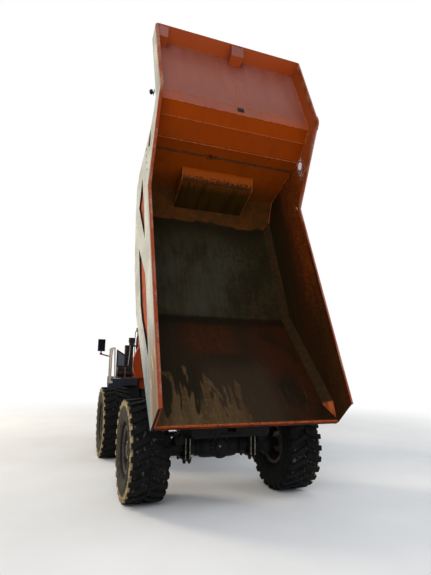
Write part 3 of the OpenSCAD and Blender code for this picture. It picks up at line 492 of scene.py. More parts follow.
def cream_material():
    """Outer frames: cream with grey rain streaks, black on their rear ends with grime and painted shade, and
    small chips.
    """
    g = Graph("cream frames")
    s, y, n = g.bed()
    streak = g.stretched((0.7, 3.0, 6.5), 5, 0.62, 0.3)
    chips = g.noise(24, 6, 0.7)
    # Painted light and shade low down: the frame is a shaded grey facet below a line across it and a sunlit
    # tan facet above, with thin golden lines
    patchy = streak.ease(0.4, 0.62)
    tan = g.mix(patchy, (136, 114, 86), (98, 78, 56))
    grey = g.mix(patchy, (128, 136, 136), (102, 110, 108))
    tint = g.coats(
        (188, 189, 178),
        (g.noise(1.5, 5, 0.6).ease(0.35, 0.65), (155, 155, 143)),
        (streak.ease(0.5, 0.72), (132, 124, 104), 0.6),
        (s.ease(1.35, 0.55), g.mix((n + s * -0.036).ease(-0.43, -0.415), grey, tan)))
    broken = g.noise(9, 3).ease(0.36, 0.46)
    for level, start, end in ((0.145, 0.62, 0.80), (-0.036, 0.51, 0.79), (-0.244, 0.33, 0.46)):
        line = (n + s * 0.32).near(level, 0.007, 0.012) * broken
        part = s.ease(start, start + 0.04) * s.ease(end + 0.04, end)
        tint = g.coats(tint, (line * part, (220, 178, 100), 0.8))
    # Painted shade: inside the openings the faces that look towards the rim are black, and dark red further
    # forward
    inner = abs(y).ease(BED_Y / 1000 - 0.001, BED_Y / 1000 - 0.003)
    recess_shade = g.mix(s.ease(3.98, 4.06), (16, 12, 9), (104, 34, 20))
    tint = g.coats(
        tint,
        (chips.ease(0.6, 0.65), (112, 68, 42), 0.7),
        # Rear ends: black, grime and painted shade
        (g.dot((-0.94, 0, -0.34)).ease(0.55, 0.75) * s.ease(0.05, 0.02), (22, 19, 16)),
        (g.dot(UP_FROM_RIM).ease(0.4, 0.6) * inner, recess_shade))
    return g.done(tint, streak * 0.25 + 0.4, chips, 0.001, shine=0.15)


def tyre_material():
    """Rubber: near black, tan dust on the flanks with a pale shoulder band that is partly dust and partly
    painted sunlight, and packed snow specks between the lugs.
    """
    g = Graph("tyre rubber")
    front = g.x.over(at(WHEELBASE / 2, 0, 0).x)
    x = g.x - at(0, 0, 0).x - front * (WHEELBASE / 1000)
    z = g.z - AXLE_Z / 1000
    radius = (x * x + z * z).root()
    off = abs(abs(g.y) - TRACK / 2000)
    dust = g.noise(9, 6, 0.65)
    fine = g.noise(60, 4, 0.6)
    # The flank's tint: tan dust, with a pale band at the shoulder that is partly dust and partly painted
    # sunlight
    tan = g.coats(
        (56, 52, 42),
        ((radius + dust * 0.05).ease(0.645, 0.69), (172, 152, 112)),
        (fine.ease(0.45, 0.65), (48, 44, 36), 0.5))
    flank = off.ease(0.235, 0.262) * radius.ease(0.735, 0.705) * abs(g.y).over(TRACK / 2000)
    patchy = (dust * 0.6 + g.noise(30, 4, 0.7) * 0.4).ease(0.34, 0.54)
    between = radius.ease(0.744, 0.728) * off.ease(0.245, 0.2)
    tint = g.coats(
        (10, 11, 10),
        (dust.ease(0.35, 0.7), (22, 22, 20)),
        (flank * patchy, tan),
        (g.noise(18, 5, 0.7, warp=0.4).ease(0.575, 0.635) * between, (92, 85, 83), 0.7))
    scratch = g.stretched((34, 170, 34), 3, 0.5)
    return g.done(tint, dust * 0.2 + 0.74, fine + scratch, 0.0012, shine=0.12)


def rim_steel_material():
    g = Graph("wheel rims")
    dust = g.noise(8, 5, 0.6)
    tint = g.coats(
        (34, 30, 28),
        (dust.ease(0.35, 0.7), (66, 56, 46)),
        (g.noise(26, 5, 0.7).ease(0.55, 0.65), (104, 92, 76), 0.6))
    return g.done(tint, dust * 0.3 + 0.45, g.noise(40, 4), 0.001)


def rod_material():
    g = Graph("chrome rod")
    smear = g.noise(12, 4, 0.6)
    tint = g.mix(smear.ease(0.55, 0.75), (214, 216, 220), (150, 146, 140))
    return g.done(tint, smear.ease(0.4, 0.8) * 0.25 + 0.12, smear, 0.0002, metallic=1.0)


def glass_material():
    g = Graph("tinted glass")
    smear = g.noise(3, 5, 0.6)
    tint = g.mix(smear.ease(0.4, 0.8), (66, 76, 80), (96, 102, 102))
    return g.done(tint, smear.ease(0.5, 0.85) * 0.2 + 0.04, smear, 0.0002,
                  IOR=1.45, Transmission_Weight=0.85, shine=0.5)


def lamp_material(name, color):
    g = Graph(name)
    flutes = g.stretched((240, 240, 48), 2, 0.5)
    tint = g.mix(flutes.ease(0.35, 0.65), color, dimmed(color, 0.85))
    return g.done(tint, 0.12, flutes, 0.001, Coat_Weight=0.6, shine=0.5)


def steel_material(name, clean, stained, roughness, metallic=0.0):
    g = Graph(name)
    grime = g.noise(20, 5, 0.65)
    tint = g.mix(grime.ease(0.4, 0.65), clean, stained)
    return g.done(tint, grime * 0.25 + roughness, grime, 0.0008, metallic)


mat = {
    "orange": paint("orange paint", (164, 62, 12), (92, 38, 12), (132, 84, 54), 0.38, settled=0.4),
    "black": paint("chassis paint", (11, 11, 10), (24, 21, 17), (40, 38, 34), 0.6),
    "deck": paint("deck steel", (36, 39, 47), (26, 26, 30), (92, 94, 98), 0.55),
    "trim": paint("moulded trim", (26, 26, 28), (40, 38, 36), (60, 58, 56), 0.7, 0.3, 0.8),
    "grey": paint("machinery grey", (86, 90, 94), (44, 40, 36), (80, 76, 70), 0.5),
    "rail": paint("rail paint", (182, 172, 156), (120, 104, 88), (200, 200, 200), 0.45),
    # The underside's dark red-brown is the bed's orange darkened as painted shade, with dirt streaks
    "beams": paint("underside orange with painted shade", (92, 36, 16), (38, 22, 14), (84, 66, 52), 0.55, 0.8),
    "panel": paint("grey panel", (84, 88, 96), (58, 58, 62), (150, 152, 156), 0.55),
    "posts": paint("faded posts", (150, 96, 86), (90, 60, 50), (170, 150, 140), 0.6),
    "floor": bed_floor_material(), "sides": bed_sides_material(), "front": bed_front_material(),
    "canopy": canopy_material(), "rims": rim_material(), "cream": cream_material(),
    "tyre": tyre_material(), "wheel": rim_steel_material(), "rod": rod_material(),
    "glass": glass_material(),
    "red lamp": lamp_material("red lens", (150, 16, 10)),
    "clear lamp": lamp_material("clear lens", (226, 224, 214)),
    "amber lamp": lamp_material("amber lens", (210, 110, 20)),
    "bolt": steel_material("zinc bolts", (150, 146, 136), (92, 78, 62), 0.35, 0.8),
    "hose": steel_material("hose rubber", (24, 24, 25), (44, 42, 40), 0.6),
    "weld": steel_material("weld bead", (176, 90, 42), (120, 54, 22), 0.5),
    "dark steel": steel_material("dark steel", (34, 32, 31), (62, 54, 46), 0.5, 0.3),
    "stack": steel_material("stack steel", (26, 24, 24), (56, 40, 34), 0.55, 0.4),
    "mirror": steel_material("mirror glass", (20, 22, 26), (15, 16, 19), 0.08),
}

# The CAD nodes' materials; tyres, rims and rods go by their names, and the rest is black
WEAR = {
    "rear_lamps": "red lamp", "bed_floor": "floor", "bed_sides": "sides", "bed_front": "front",
    "bed_canopy": "canopy", "bed_rims": "rims", "side_frames": "cream", "bed_beams": "beams",
    "headboard_ribs": "orange", "front_lamps": "clear lamp", "engine": "grey", "decks": "deck",
    "handrails": "rail", "deck_boxes": "stack", "rear_cowl": "orange", "cab_shell": "orange",
    "cab_glass": "glass", "cab_interior": "trim", "door_l": "orange", "door_r": "orange",
    "door_glass_l": "glass", "door_glass_r": "glass", "hood": "orange",
}
for node, obj in NODES.items():
    other = {"tyre": "tyre", "rim_": "wheel"}.get(node[:4], "rod" if "_rod_" in node else "black")
    obj.data.materials.clear()
    obj.data.materials.append(mat[WEAR.get(node, other)])


# Meshes

# The slots of detail pieces by material, where it isn't black_paint and the piece names no other
SLOTS = {
    "bolt": "rim", "wheel": "rim", "tyre": "tyre", "weld": "bed_steel", "beams": "bed_steel",
    "trim": "trim_black", "orange": "orange_paint", "red lamp": "lamp", "clear lamp": "lamp",
    "amber lamp": "lamp", "panel": "engine_grey", "posts": "rail_paint", "rail": "rail_paint",
    "mirror": "glass",
}


class Piece:
    """Collects solids in one mesh. Their points and directions go through the frame `to`."""

    def __init__(self, name, body, material, to=at, bevel=0.0, slot=None):
        self.name, self.body, self.material, self.to, self.bevel = name, body, material, to, bevel
        self.slot = slot or SLOTS.get(material, "black_paint")
        self.mesh = bmesh.new()

    def shell(self, rings, caps=True):
        """Joins closed rings of points into one skin."""
        rows = [[self.mesh.verts.new(p) for p in ring] for ring in rings]
        count = len(rows[0])
        for a, b in zip(rows, rows[1:]):
            for i in range(count):
                j = (i + 1) % count
                self.mesh.faces.new((a[i], a[j], b[j], b[i]))
        if caps:
            self.mesh.faces.new(list(reversed(rows[0])))
            self.mesh.faces.new(rows[-1])

    def box(self, x, y, z):
        self.prism_z([(x[0], y[0]), (x[1], y[0]), (x[1], y[1]), (x[0], y[1])], *z)

    def prism_x(self, points, *ends):
        self.shell([[self.to(x, y, z) for y, z in points] for x in ends])

    def prism_y(self, points, *ends):
        self.shell([[self.to(x, y, z) for x, z in points] for y in ends])

    def prism_z(self, points, *ends):
        self.shell([[self.to(x, y, z) for x, y in points] for z in ends])

    def round(self, p, along, radii, sides=20):
        """Turned solid that starts at p; radii is [(share of its length, radius), ...]."""
        p, along = Vector(p), Vector(along)
        u = along.cross(Z if abs(along.normalized().z) < 0.9 else X).normalized()
        v = along.cross(u).normalized()
        self.shell([[self.to(*(p + along * share + u * i + v * j)) for i, j in circle(sides, radius)]
                    for share, radius in radii])

    def rod(self, p, along, radius, sides=16):
        self.round(p, along, [(0, radius), (1, radius)], sides)

    def tube(self, points, radius):
        """Round tube along a smooth curve through the points."""
        sides, steps = 10, 6
        points = [Vector(p) for p in points]
        path = []
        for a, b, c, d in zip(points[:1] + points, points, points[1:], points[2:] + points[-1:]):
            for t in (k / steps for k in range(steps)):
                path.append(0.5 * (2 * b + (c - a) * t + (2 * a - 5 * b + 4 * c - d) * t * t
                                   + (3 * b - a - 3 * c + d) * t ** 3))
        path.append(points[-1])
        u = None
        rings = []
        for p, before, after in zip(path, path[:1] + path, path[1:] + path[-1:]):
            along = (after - before).normalized()
            if u is None:
                u = along.cross(Z if abs(along.z) < 0.9 else X)
            u = (u - along * u.dot(along)).normalized()
            v = along.cross(u)
            rings.append([self.to(*(p + u * i + v * j)) for i, j in circle(sides, radius)])
        self.shell(rings)

    def bolt(self, p, out, radius, height):
        """Hexagon head on a washer."""
        p, out = Vector(p), Vector(out).normalized() * height
        self.rod(p, out * 0.25, radius * 1.35)
        self.round(p + out * 0.2, out * 0.8, [(0, radius), (0.85, radius), (1, radius * 0.82)], 6)

    def weld(self, p, q, radius, seed):
        """Bead with ripples from p to q."""
        rng = random.Random(seed)
        along = Vector(q) - Vector(p)
        count = max(2, int(along.length / (radius * 3)))
        self.round(p, along, [(k / count, radius * (0.85 + 0.3 * rng.random()))
                              for k in range(count + 1)], 6)

    def spin(self, radius, angle, off):
        """A point of a wheel, in the wheel's frame."""
        return self.to(radius * math.cos(angle), off, radius * math.sin(angle))

    def lathe(self, profile, sides=96):
        """Turns a profile of (radius, offset outwards) about a wheel's axle."""
        self.shell([[self.spin(radius, math.tau * k / sides, off) for k in range(sides)]
                    for radius, off in profile], caps=False)

    def frame_strip(self, x, y, z, width):
        """Flat frame round an opening that spans x and z, lying between the two values of y."""
        for level in ((z[0] - width, z[0]), (z[1], z[1] + width)):
            self.box((x[0] - width, x[1] + width), y, level)
        self.box((x[0] - width, x[0]), y, z)
        self.box((x[1], x[1] + width), y, z)

    def done(self):
        bmesh.ops.recalc_face_normals(self.mesh, faces=self.mesh.faces)
        data = bpy.data.meshes.new(self.name)
        self.mesh.to_mesh(data)
        self.mesh.free()
        obj = add_object(self.name, data)
        data.materials.append(mat[self.material])
        if self.bevel:
            mod = obj.modifiers.new("soft edges", "BEVEL")
            mod.width = self.bevel / 1000
            mod.segments = 2
            mod.limit_method = "ANGLE"
            mod.angle_limit = math.radians(40)
            mod.harden_normals = False
            mod.use_clamp_overlap = True
        data.polygons.foreach_set("use_smooth", [True] * len(data.polygons))
        data.set_sharp_from_angle(angle=math.radians(35))
        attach(obj, self.body)
        return obj


def finish(*pieces):
    for piece in pieces:
        piece.done()


# Wheels


def casing():
    """Outer side of the casing from the bead to the crown, with two moulded ribs."""
    out = [(338, 204), (381, 212)]
    for k in range(9):
        a = math.radians(49 - k * 49 / 8)
        out.append((525 - 190 * math.sin(a), TYRE_Y - 190 + 190 * math.cos(a)))
    out[4:4] = [(412, TYRE_Y - 37), (414, TYRE_Y - 32), (424, TYRE_Y - 28), (427, TYRE_Y - 31)]
    out += [(560, TYRE_Y - 3), (562, TYRE_Y + 1), (572, TYRE_Y + 1), (575, TYRE_Y - 5),
            (600, TYRE_Y - 12)]
    for k in range(8):
        a = math.radians(-15 + k * 15)
        out.append((634 + 75 * math.sin(a), TYRE_Y - 80 + 75 * math.cos(a)))
    out += [(CROWN, 140), (CROWN, 70), (CROWN, 0)]
    return out


# Stations along a lug: its top and its foot as (radius, offset), and its shift round the tyre
LUG = [((TREAD, 12), (700, 12), 90), ((TREAD, 66), (700, 66), 66.6), ((TREAD, 122), (700, 122), 41.4),
       ((TREAD, 178), (700, 178), 16.2), ((TREAD, 212), (700, 212), 0), ((744, 250), (698, 230), 0),
       ((739, 272), (690, 244), 0), ((718, 284), (676, 254), 0), ((676, 285), (662, 260), 0),
       ((632, 282), (630, 265), 0)]
LUG_COUNT = 26
# The foot and the top of a stiffener on the rim's disc, as (radius, half width, offset)
GUSSET = [[(165, -9, 53), (165, 9, 53), (165, 9, 148), (165, -9, 148)],
          [(182, -7, 53), (182, 7, 53), (168, 7, 148), (168, -7, 148)]]


def add_tyre(code, body, x, side):
    rng = random.Random(code)
    piece = Piece("tyre_" + code + "_rubber", body, "tyre", wheel(x, side), bevel=6)
    half = casing()
    piece.lathe(half + [(radius, -off) for radius, off in reversed(half[:-1])])
    for flank, turn in ((1, 0), (-1, 0.5)):
        for i in range(LUG_COUNT):
            middle = math.tau * (i + turn) / LUG_COUNT
            rings = []
            for top, foot, shift in LUG:
                a = middle - shift / CROWN
                wide = 37 + 0.8 * rng.uniform(-1, 1)
                rings.append([piece.spin(radius, a + width / level, flank * off)
                              for (radius, off), width, level in
                              ((foot, -wide - 7, CROWN), (top, -wide, TREAD),
                               (top, wide, TREAD), (foot, wide + 7, CROWN))])
            piece.shell(rings)
            # Small block on the shoulder between two lugs
            a = middle + math.pi / LUG_COUNT
            piece.shell([[piece.spin(r, a + w * k / r, flank * (off + h))
                          for k, h in ((-1, -16), (-0.8, 6), (0.8, 6), (1, -16))]
                         for r, off, w in ((640, 275, 26), (676, 271, 24))])
    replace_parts(piece.done(), "tyre_" + code)


def add_hub(code, body, x, side):
    nuts = Piece("wheel_" + code + "_nuts", body, "bolt", wheel(x, side), bevel=1)
    for dx, dz in circle(16, 203):
        nuts.bolt((dx, 53, dz), Y, 17, 26)
        nuts.rod((dx, 53, dz), Y * 39, 10)
    for dx, dz in circle(10, 112, 0.5):
        nuts.bolt((dx, 202, dz), Y, 9, 10)
    nuts.bolt((62, 202, 20), Y, 15, 16)
    hub = Piece("wheel_" + code + "_hub", body, "wheel", wheel(x, side), bevel=2)
    hub.lathe([(352, 203), (352, 220), (345, 228), (330, 229), (322, 222), (322, 203)], 72)
    hub.lathe([(0.5, 203), (64, 203), (64, 214), (58, 219), (0.5, 219)], 40)
    hub.lathe([(129, 196), (129, 208), (94, 208), (94, 203)], 48)
    for k in range(5):
        a = math.tau * k / 5 + 0.3
        hub.shell([[hub.spin(r, a + w / r, off) for r, w, off in ring] for ring in GUSSET])
    # The tyre's valve
    hub.rod((270, 100, 60), (-8, 90, 0), 7)
    hub.rod((262, 190, 60), Y * 24, 10)
    finish(nuts, hub)


for code, x, side in (("rl", 0, 1), ("rr", 0, -1), ("fl", WHEELBASE, 1), ("fr", WHEELBASE, -1)):
    add_tyre(code, "wheel_" + code, x, side)
    add_hub(code, "wheel_" + code, x, side)


# Axles and chassis


def add_axle(name, body, x, rail_y):
    """What is bolted to an axle: its covers, brake chambers, springs' pads and clamp nuts."""
    covers = Piece(name + "_castings", body, "black", axle(x), bevel=3)
    nuts = Piece(name + "_bolts", body, "dark steel", axle(x), bevel=1)
    studs = Piece(name + "_studs", body, "bolt", axle(x), bevel=1)
    for s in (-1, 1):
        covers.round((s * 150, 0, 0), X * s * 38, [(0, 176), (0.6, 176), (1, 168)], 40)
        for y, z in circle(14, 150):
            nuts.bolt((s * 186, y, z), X * s, 11, 13)
    for _ in both_sides(covers, nuts, studs):
        covers.rod((0, 352, 0), Y * 28, 150, 32)
        covers.round((0, TRACK / 2 - 470, 0), Y * 96, [(0, 132), (0.5, 150), (1, 185)], 32)
        y = rail_y + 150
        covers.round((-150, y, 150), X * -140,
                     [(0, 60), (0.08, 88), (0.45, 92), (0.5, 98), (0.56, 92), (0.92, 84), (1, 55)], 28)
        covers.box((-150, -60), (y - 45, y + 45), (60, 210))
        covers.box((-215, 215), (rail_y - 62, rail_y + 62), (-172, -162))
        for dx, dz in circle(10, 132):
            nuts.bolt((dx, 380, dz), Y, 10, 12)
        for dx in (-168, 168):
            for y in (rail_y - 40, rail_y + 40):
                nuts.bolt((dx, y, -188), -Z, 24, 26)
                studs.rod((dx, y, -178), Z * -46, 13)
        for y in (rail_y - 34, rail_y + 34):
            studs.rod((-216, y, -150), Z * 300, 10)
    covers.round((40, -120, 150), Z * 76, [(0, 40), (0.7, 40), (1, 26)])
    studs.bolt((-226, 30, 20), -X, 20, 20)
    nuts.bolt((0, 0, -176), -Z, 17, 18)
    finish(covers, studs, nuts)


def add_shaft(name, body, start, end):
    """Propeller shaft with its two universal joints, between two points (x, z)."""
    piece = Piece(name, body, "dark steel", bevel=2)
    a, b = Vector((start[0], 0, start[1])), Vector((end[0], 0, end[1]))
    u = (b - a).normalized()
    piece.round(a + u * 110, b - a - u * 220,
                [(0, 38), (0.04, 52), (0.5, 52), (0.505, 60), (0.93, 60), (1, 40)], 24)
    for p, d in ((a, u), (b, -u)):
        piece.rod(p, d * 22, 74, 24)
        for s in (-46, 46):
            piece.box((p.x + d.x * 20, p.x + d.x * 92), (s - 12, s + 12), (p.z - 26, p.z + 26))
            piece.box((p.x + d.x * 64, p.x + d.x * 130), (-26, 26), (p.z + s - 12, p.z + s + 12))
        for arm in (Y, Z):
            piece.rod(p + d * 76 - arm * 62, arm * 124, 16)
    piece.done()


def add_rear_frame():
    """Air tanks, pivots' covers, bolts, lamps' lenses and pipes of the rear frame."""
    parts = Piece("rear_frame_parts", "rear_unit", "black", bevel=3)
    bolts = Piece("rear_frame_bolts", "rear_unit", "bolt", bevel=1)
    lens = Piece("rear_lamp_lenses", "rear_unit", "red lamp", bevel=3)
    amber = Piece("rear_lamp_amber", "rear_unit", "amber lamp", bevel=3)
    pipes = Piece("rear_pipes", "rear_unit", "hose")
    pin_x, pin_z = HINGE
    for _ in both_sides(parts, bolts, lens, amber, pipes):
        parts.round((330, 330, 1150), X * -450,
                    [(0, 40), (0.03, 92), (0.08, 105), (0.92, 105), (0.97, 92), (1, 40)], 28)
        for x in (0, 230):
            parts.rod((x, 330, 1150), X * 26, 110, 28)
            parts.box((x, x + 26), (330, 500), (1244, 1256))
        parts.prism_y([(-641, 1120), (-641, 1250), (-500, 1250)], 480, 500)
        for y, depth in ((475, -10), (625, 10)):
            parts.round((pin_x, y, pin_z), Y * depth, [(0, 78), (1, 74)], 32)
        foot = Vector(HOIST_FOOT) + Y * 80
        parts.round(foot, Y * 12, [(0, 58), (1, 54)], 28)
        bolts.bolt(foot + Y * 12, Y, 16, 14)
        for dx, dz in circle(4, 56, 0.5):
            bolts.bolt((pin_x + dx, 635, pin_z + dz), Y, 10, 10)
        for x in (-560, -440, -320, -200, 180, 260):
            for z in (1015, 1185):
                bolts.bolt((x, 600, z), Y, 12, 12)
        lens.box((-694, -686), (634, 700), (1143, 1197))
        amber.box((-694, -686), (706, 744), (1143, 1197))
        lens.box((-693, -686), (750, 776), (1143, 1197))
        for k in range(3):
            y, z = 486 - k * 2, 1215 - k * 34
            pipes.tube([(-480, y, z), (-200, y, z), (100, y, z), (270, y - 6, z),
                        (420, 390 - k * 8, z - 20), (700, 215 - k * 8, z - 60),
                        (930, 112 - k * 6, z - 110)], 11)
        pipes.tube([(-290, 700, 895), (-330, 690, 980), (-260, 640, 1080), (-120, 470, 1120),
                    (-40, 440, 1150)], 12)
    # Valve block on the rear cross member
    parts.box((-655, -641), (-180, 180), (975, 1015))
    parts.box((-560, -500), (-420, -260), (1190, 1240))
    for dx, y in circle(8, 105):
        bolts.bolt((2050 + dx, y, 1185), Z, 13, 14)
        bolts.bolt((2050 + dx, y, 705), -Z, 13, 14)
    finish(parts, bolts, lens, amber, pipes)


def add_cylinders(code, to):
    """Glands, ports and pipes of the hoist and steering cylinders on one side."""
    foot = Vector(HOIST_FOOT)
    s, y, n = HOIST_EYE
    eye = Vector((RIM_X + s * COS - n * SIN, y, RIM_Z + s * SIN + n * COS))
    u = (eye - foot).normalized()
    out = Vector((u.z, 0, -u.x))
    hoist = Piece("hoist_fittings_" + code, "hoist_barrel_" + code, "black", to, 2)
    for t, length, radius in ((92, 16, 92), (1062, 18, 98), (1080, 40, 95), (1126, 12, 97), (560, 20, 90)):
        hoist.rod(foot + u * t, u * length, radius, 40)
    for t in (140, 1050):
        hoist.round(foot + u * t + out * 84, out * 36, [(0, 26), (1, 24)], 16)
    hoist.tube([foot + u * t + out * h for t, h in
                ((1050, 120), (1020, 132), (900, 112), (570, 106), (260, 112))], 12)
    hoist.tube([foot + u * t + out * h for t, h in ((140, 120), (190, 138), (250, 136))], 12)
    nuts = Piece("hoist_bolts_" + code, "hoist_barrel_" + code, "bolt", to, 1)
    for i, j in circle(8, 76):
        nuts.bolt(foot + u * 1138 + out * i + Y * j, u, 9, 10)
    rod = Piece("hoist_eye_" + code, "hoist_rod_" + code, "black", to, 2, slot="chrome_rod")
    rod.round(eye - u * 150, u * 92, [(0, 44), (0.1, 50), (1, 50)], 32)
    rear = Vector(STEER_REAR)
    u = (Vector(STEER_FRONT) - rear).normalized()
    steer = Piece("steer_fittings_" + code, "steer_barrel_" + code, "black", to, 2)
    for t, length, radius in ((540, 16, 62), (566, 32, 66)):
        steer.rod(rear + u * t, u * length, radius, 32)
    for t in (110, 530):
        steer.round(rear + u * t + Z * 52, Z * 32, [(0, 18), (1, 17)], 14)
    steer.tube([rear + u * t + Z * h for t, h in ((530, 82), (500, 98), (400, 82), (200, 80))], 9)
    finish(hoist, nuts, rod, steer)


add_axle("rear_axle", "rear_unit", 0, 550)
add_axle("front_axle", "front_unit", WHEELBASE, 425)
add_shaft("rear_shaft", "rear_unit", (240, 760), (960, 845))
add_shaft("front_shaft", "front_unit", (2330, 830), (3060, 760))
add_rear_frame()
add_cylinders("l", at)
add_cylinders("r", mirrored(at))


# Dump bed


def add_bed_parts():
    welds = Piece("bed_welds", "bed", "weld", bed)
    for s, n, r in ((4333, 282, 7), (4464, 606, 6), (4604, 800, 6), (4790, 813, 5), (6118, 792, 6)):
        welds.weld((s - 4, 4 - ROOM_Y, n), (s - 4, ROOM_Y - 4, n), r, seed=s)
    corner = [(3873, -1154), (4296, -813), (4325, 284), (4456, 610), (4596, 804), (4790, 814), (6110, 794)]
    chest = [(4314, -262), (4105, -391), (4042, -1028)]
    for _ in both_sides(welds):
        for path, y, radius in ((corner, ROOM_Y - 5, 6), (chest, 681, 4)):
            for (s0, n0), (s1, n1) in zip(path, path[1:]):
                welds.weld((s0, y, n0), (s1, y, n1), radius, seed=s0)
    tails = Piece("tail_welds", "bed", "weld", tail)
    tails.weld((22, 6 - ROOM_Y, 2), (22, ROOM_Y - 6, 2), 6, seed=11)
    # Cover with its cable strip on the slope under the canopy
    cover = Piece("canopy_cover", "bed", "trim", bed, bevel=3)
    cover.prism_y([(4668, 800), (4744, 806), (4741, 824), (4672, 819)], -108, 8)
    for s in (4684, 4704, 4724):
        cover.prism_y([(s, 817), (s + 8, 818), (s + 8, 824), (s, 823)], -92, -8)
    strip = Piece("canopy_strip", "bed", "weld", bed, slot="orange_paint")
    strip.tube([(4742, -52, 812), (4900, -50, 811), (5200, -40, 807), (5480, -28, 803)], 5)
    # The frames' lower edges by the crease are cream frame; their dark underside colour is painted shade
    edge = Piece("frame_edges", "bed", "beams", bed, bevel=2, slot="cream_paint")
    plugs = Piece("frame_plugs", "bed", "black", bed, bevel=1)
    # Bushes at the hoist's upper pins
    bush = Piece("bed_bushes", "bed", "beams", bed, bevel=2)
    for _ in both_sides(edge, plugs, bush):
        edge.prism_y([(1885, -1222), (1428, -1110), (1422, -1126), (1884, -1240)], 1330, 1378)
        for s, n in ((4297, -21), (4157, -30), (4011, -38), (3864, -39)):
            plugs.round((s, BED_Y - 6, n), Y * 9, [(0, 25), (0.6, 25), (1, 19)])
        for s, n in ((930, -495), (1640, -760), (2700, -800), (3080, -470), (3480, -640)):
            plugs.bolt((s, BED_Y, n), Y, 10, 7)
        s, _, n = HOIST_EYE
        for y in (635.2, 795.2):
            bush.round((s, y, n), Y * 9.6, [(0, 48), (1, 46)], 28)
    lamp = Piece("side_lamp", "bed", "black", bed, bevel=2)
    lamp.box((4820, 4876), (BED_Y, BED_Y + 6), (630, 720))
    lamp.rod((4848, BED_Y + 4, 668), Y * 38, 9)
    lamp.round((4815, BED_Y + 44, 668), X * 75,
               [(0, 22), (0.2, 30), (0.8, 30), (1, 24)])
    finish(welds, tails, cover, strip, edge, plugs, lamp, bush)


add_bed_parts()


# Cab, decks and nose


def add_doors(code, body, place):
    seal = Piece("door_seals_" + code, body, "trim", place, bevel=2)
    seal.frame_strip((223, 787), (-1, 4), (2355, 3022), 16)
    seal.frame_strip((223, 787), (-1, 4), (1793, 2209), 16)
    seal.box((223, 787), (-48, -44), (2600, 2606))
    fit = Piece("door_handle_" + code, body, "black", place, bevel=2)
    fit.box((170, 206), (0, 10), (2225, 2320))
    fit.tube([(180, 8, 2236), (180, 42, 2250), (180, 46, 2280), (180, 8, 2310)], 8)
    fit.round((192, 8, 2262), Y * 10, [(0, 12), (1, 10)], 14)
    fit.tube([(830, 4, 2120), (830, 52, 2150), (830, 56, 2500), (830, 52, 2850), (830, 4, 2880)], 11)
    skin = Piece("door_ribs_" + code, body, "orange", place, bevel=2)
    skin.box((165, 845), (0, 3), (1716, 1762))
    skin.box((165, 845), (0, 3), (3050, 3084))
    finish(seal, fit, skin)


def add_cab():
    seal = Piece("cab_seals", "front_unit", "trim", bevel=2)
    rear = (CAB_X - 4, CAB_X + 2)
    for y in ((-436, -420), (420, 436)):
        seal.box(rear, y, (2347, 3030))
    for z in ((2331, 2347), (3030, 3046)):
        seal.box(rear, (-436, 436), z)
    # Gasket of the windscreen, and its wiper
    seal.to = screen
    low, high = 62 / math.cos(SCREEN_LEAN), 850 / math.cos(SCREEN_LEAN)
    for y in ((-354, -340), (340, 354)):
        seal.box((low - 14, high + 14), y, (-2, 5))
    for t in ((low - 14, low), (high, high + 14)):
        seal.box(t, (-354, 354), (-2, 5))
    seal.tube([(20, 60, 12), (60, 80, 16), (low + 40, 150, 12), (low + 420, 250, 12)], 6)
    seal.box((low + 30, low + 500), (232, 240), (4, 12))
    seal.round((18, 60, 2), Z * 16, [(0, 18), (1, 14)], 14)
    skin = Piece("cab_skin", "front_unit", "orange", bevel=2)
    for y in (-250, 0, 250):
        skin.box((CAB_X + 80, 4980), (y - 24, y + 24), (3288, 3297))
    skin.box((CAB_X - 7, CAB_X + 1), (-500, 500), (2180, 2216))
    # Hand rails behind the doors, and work lamps on the roof
    fit = Piece("cab_fittings", "front_unit", "black", wall, bevel=2)
    for _ in both_sides(fit):
        fit.tube([(92, 2, 1900), (92, 48, 1930), (92, 52, 2300), (92, 48, 2660), (92, 2, 2690)], 12)
        for z in (1860, 2290, 2730):
            fit.bolt((36, 0, z), Y, 9, 8)
    fit.to = at
    lens = Piece("work_lamps", "front_unit", "clear lamp", bevel=1)
    for _ in both_sides(skin, fit, lens):
        skin.box((CAB_X - 18, 5082), (440, 448), (3222, 3236))
        for y in (410, 300):
            fit.round((5040, y, 3262), X * 60, [(0, 34), (0.3, 52), (1, 56)], 24)
            fit.box((5010, 5044), (y - 10, y + 10), (3250, 3300))
            lens.round((5098, y, 3262), X * 8, [(0, 50), (0.7, 50), (1, 42)], 24)
    finish(seal, skin, fit, lens)


